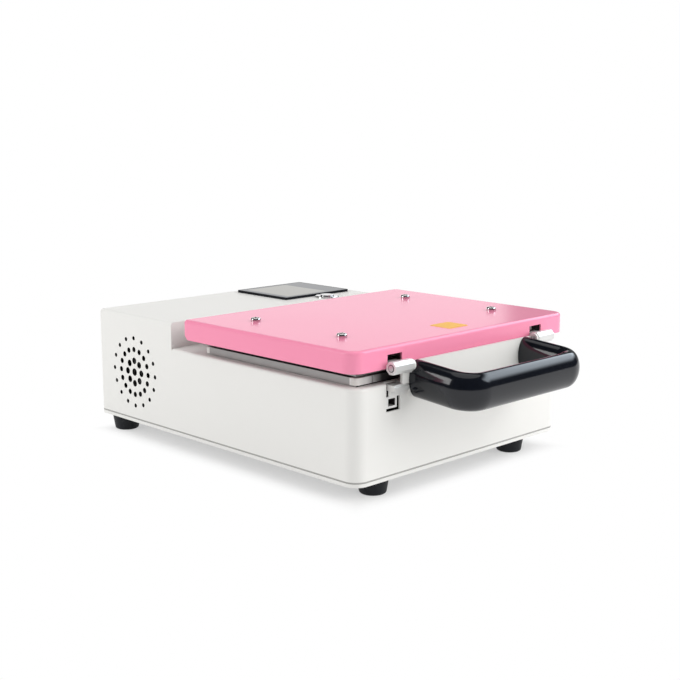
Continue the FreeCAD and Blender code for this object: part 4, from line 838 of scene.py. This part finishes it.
# Light: an even white room, with soft panels at the front right and the left, and a flag at the front left.
# A dark card stands round the bench for reflections only, open low at the back and pale beside the opening,
# with a bright window before it at the front right. They give the glossy grip its dark and light bands.
WHITE = (1.0, 1.0, 1.0)
BLACK = (0.0, 0.0, 0.0)
ROOM_STRENGTH = 0.845
PANELS = (
    ("front_panel", (0.75, -1.55, 0.80), 1.5, 20.8, False),
    ("left_panel", (-1.3, 0.75, 0.7), 0.7, 7.2, True),
)
CARD_RADIUS = 1.9
CARD_SIDES = 128
CARD_LOW = 0.03
CARD_HIGH = 3.2
CARD_BLACK = (0.02, 0.02, 0.02)
CARD_OPEN = (34.0, 103.0)
CARD_OPEN_HEIGHT = 0.7
CARD_PALE = (-13.0, 34.0)
CARD_PALE_GLOW = 0.2
WINDOW_CENTRE = (1.27, -0.61, 1.0)
WINDOW_WIDTH = 2.7
WINDOW_HEIGHT = 1.3
WINDOW_STRENGTH = 4.5
WINDOW_TINT = (0.82, 0.91, 1.0)
WINDOW_EDGE = 0.5
WINDOW_FULL = (("X", 0.36), ("Y", 0.1))
FLAG_CENTRE = (-0.8, -0.8, 0.3)
FLAG_WIDTH = 1.1
FLAG_HEIGHT = 0.7

scene = bpy.context.scene
scene.world = bpy.data.worlds.new("room")
scene.world.use_nodes = True
tree = scene.world.node_tree
room = tree.nodes["Background"]
backdrop = tree.nodes.new("ShaderNodeBackground")
for background, strength in ((room, ROOM_STRENGTH), (backdrop, 1.0)):
    feed(tree, background.inputs["Color"], WHITE)
    feed(tree, background.inputs["Strength"], strength)
mix_shaders(tree, seen_ray(tree), room.outputs["Background"], backdrop.outputs["Background"],
            tree.nodes["World Output"].inputs["Surface"])

for name, place, size, power, mirrored in PANELS:
    aim = (-Vector(place)).to_track_quat("-Z", "Y").to_euler()
    bpy.ops.object.light_add(type="AREA", location=place, rotation=aim)
    panel = bpy.context.object
    panel.name = name
    panel.data.size = size
    panel.data.energy = power
    panel.visible_glossy = mirrored


def low_between(face, bearings):
    """True for a face low on the card between two bearings in degrees."""
    bearing = math.degrees(math.atan2(face.center.y, face.center.x))
    return face.center.z < CARD_OPEN_HEIGHT and bearings[0] < bearing < bearings[1]


bpy.ops.object.select_all(action="DESELECT")
bpy.ops.mesh.primitive_cylinder_add(
    vertices=CARD_SIDES, radius=CARD_RADIUS, depth=CARD_HIGH - CARD_LOW, end_fill_type="NOTHING",
    location=(0, 0, (CARD_LOW + CARD_HIGH) / 2))
dark_card = lone_object("dark_card")
settle(dark_card)
bpy.ops.object.mode_set(mode="EDIT")
bpy.ops.mesh.select_all(action="SELECT")
bpy.ops.mesh.bisect(plane_co=(0, 0, CARD_OPEN_HEIGHT), plane_no=(0, 0, 1))
pick_faces(dark_card, lambda face: low_between(face, CARD_OPEN))
bpy.ops.mesh.delete(type="FACE")
bpy.ops.object.mode_set(mode="OBJECT")
card_black, tree, shader = start_material("card_black")
feed(tree, shader.inputs["Base Color"], CARD_BLACK)
set_shader(card_black, Roughness=0.9)
card_pale, tree, shader = start_material("card_pale")
feed(tree, shader.inputs["Base Color"], BLACK)
feed(tree, shader.inputs["Emission Color"], WHITE)
set_shader(card_pale, Emission_Strength=CARD_PALE_GLOW)
for material in (card_black, card_pale):
    dark_card.data.materials.append(material)
for face in dark_card.data.polygons:
    face.material_index = int(low_between(face, CARD_PALE))


def hang_card(name, centre, width, height):
    """Flat card that faces the oven."""
    aim = (-Vector(centre)).to_track_quat("Z", "Y").to_euler()
    bpy.ops.object.select_all(action="DESELECT")
    bpy.ops.mesh.primitive_plane_add(size=1, location=centre, rotation=aim)
    card = lone_object(name)
    card.scale = (width, height, 1)
    return card


window_card = hang_card("window_card", WINDOW_CENTRE, WINDOW_WIDTH, WINDOW_HEIGHT)
window_light, tree, shader = start_material("window_light")
spot = split(tree, object_place(tree))
strength = WINDOW_STRENGTH
for label, full in WINDOW_FULL:
    from_middle = math_node(tree, "ABSOLUTE", spot[label])
    fade = map_range(tree, from_middle, WINDOW_EDGE, full, smooth=True)
    strength = math_node(tree, "MULTIPLY", fade, strength)
lit = tree.nodes.new("ShaderNodeEmission")
feed(tree, lit.inputs["Color"], WINDOW_TINT)
feed(tree, lit.inputs["Strength"], strength)
clear = tree.nodes.new("ShaderNodeBsdfTransparent")
both = tree.nodes.new("ShaderNodeAddShader")
tree.links.new(lit.outputs["Emission"], both.inputs[0])
tree.links.new(clear.outputs["BSDF"], both.inputs[1])
tree.links.new(both.outputs["Shader"], tree.nodes["Material Output"].inputs["Surface"])
put_on(window_card, window_light)

flag_card = hang_card("flag_card", FLAG_CENTRE, FLAG_WIDTH, FLAG_HEIGHT)
put_on(flag_card, card_black)

hidden_from = (
    (dark_card, ("camera", "diffuse", "shadow", "transmission")),
    (window_card, ("camera", "diffuse", "shadow", "transmission")),
    (flag_card, ("camera", "glossy", "transmission")),
)
for card, rays in hidden_from:
    for ray in rays:
        setattr(card, "visible_" + ray, False)


# Camera: a long view from the front left, a little above the lid.
# Its place, aim and lens were fitted to the edges of the case.
EYE = Vector((-0.6340, -0.63646, 0.2509))
LOOK = Vector((0.68890, 0.70094, -0.18467))
LENS = 62.885
SENSOR_WIDTH = 36.0

bpy.ops.object.camera_add(location=EYE, rotation=LOOK.to_track_quat("-Z", "Y").to_euler())
camera = bpy.context.object
camera.data.sensor_width = SENSOR_WIDTH
camera.data.lens = LENS
scene.camera = camera
scene.view_settings.view_transform = "Standard"
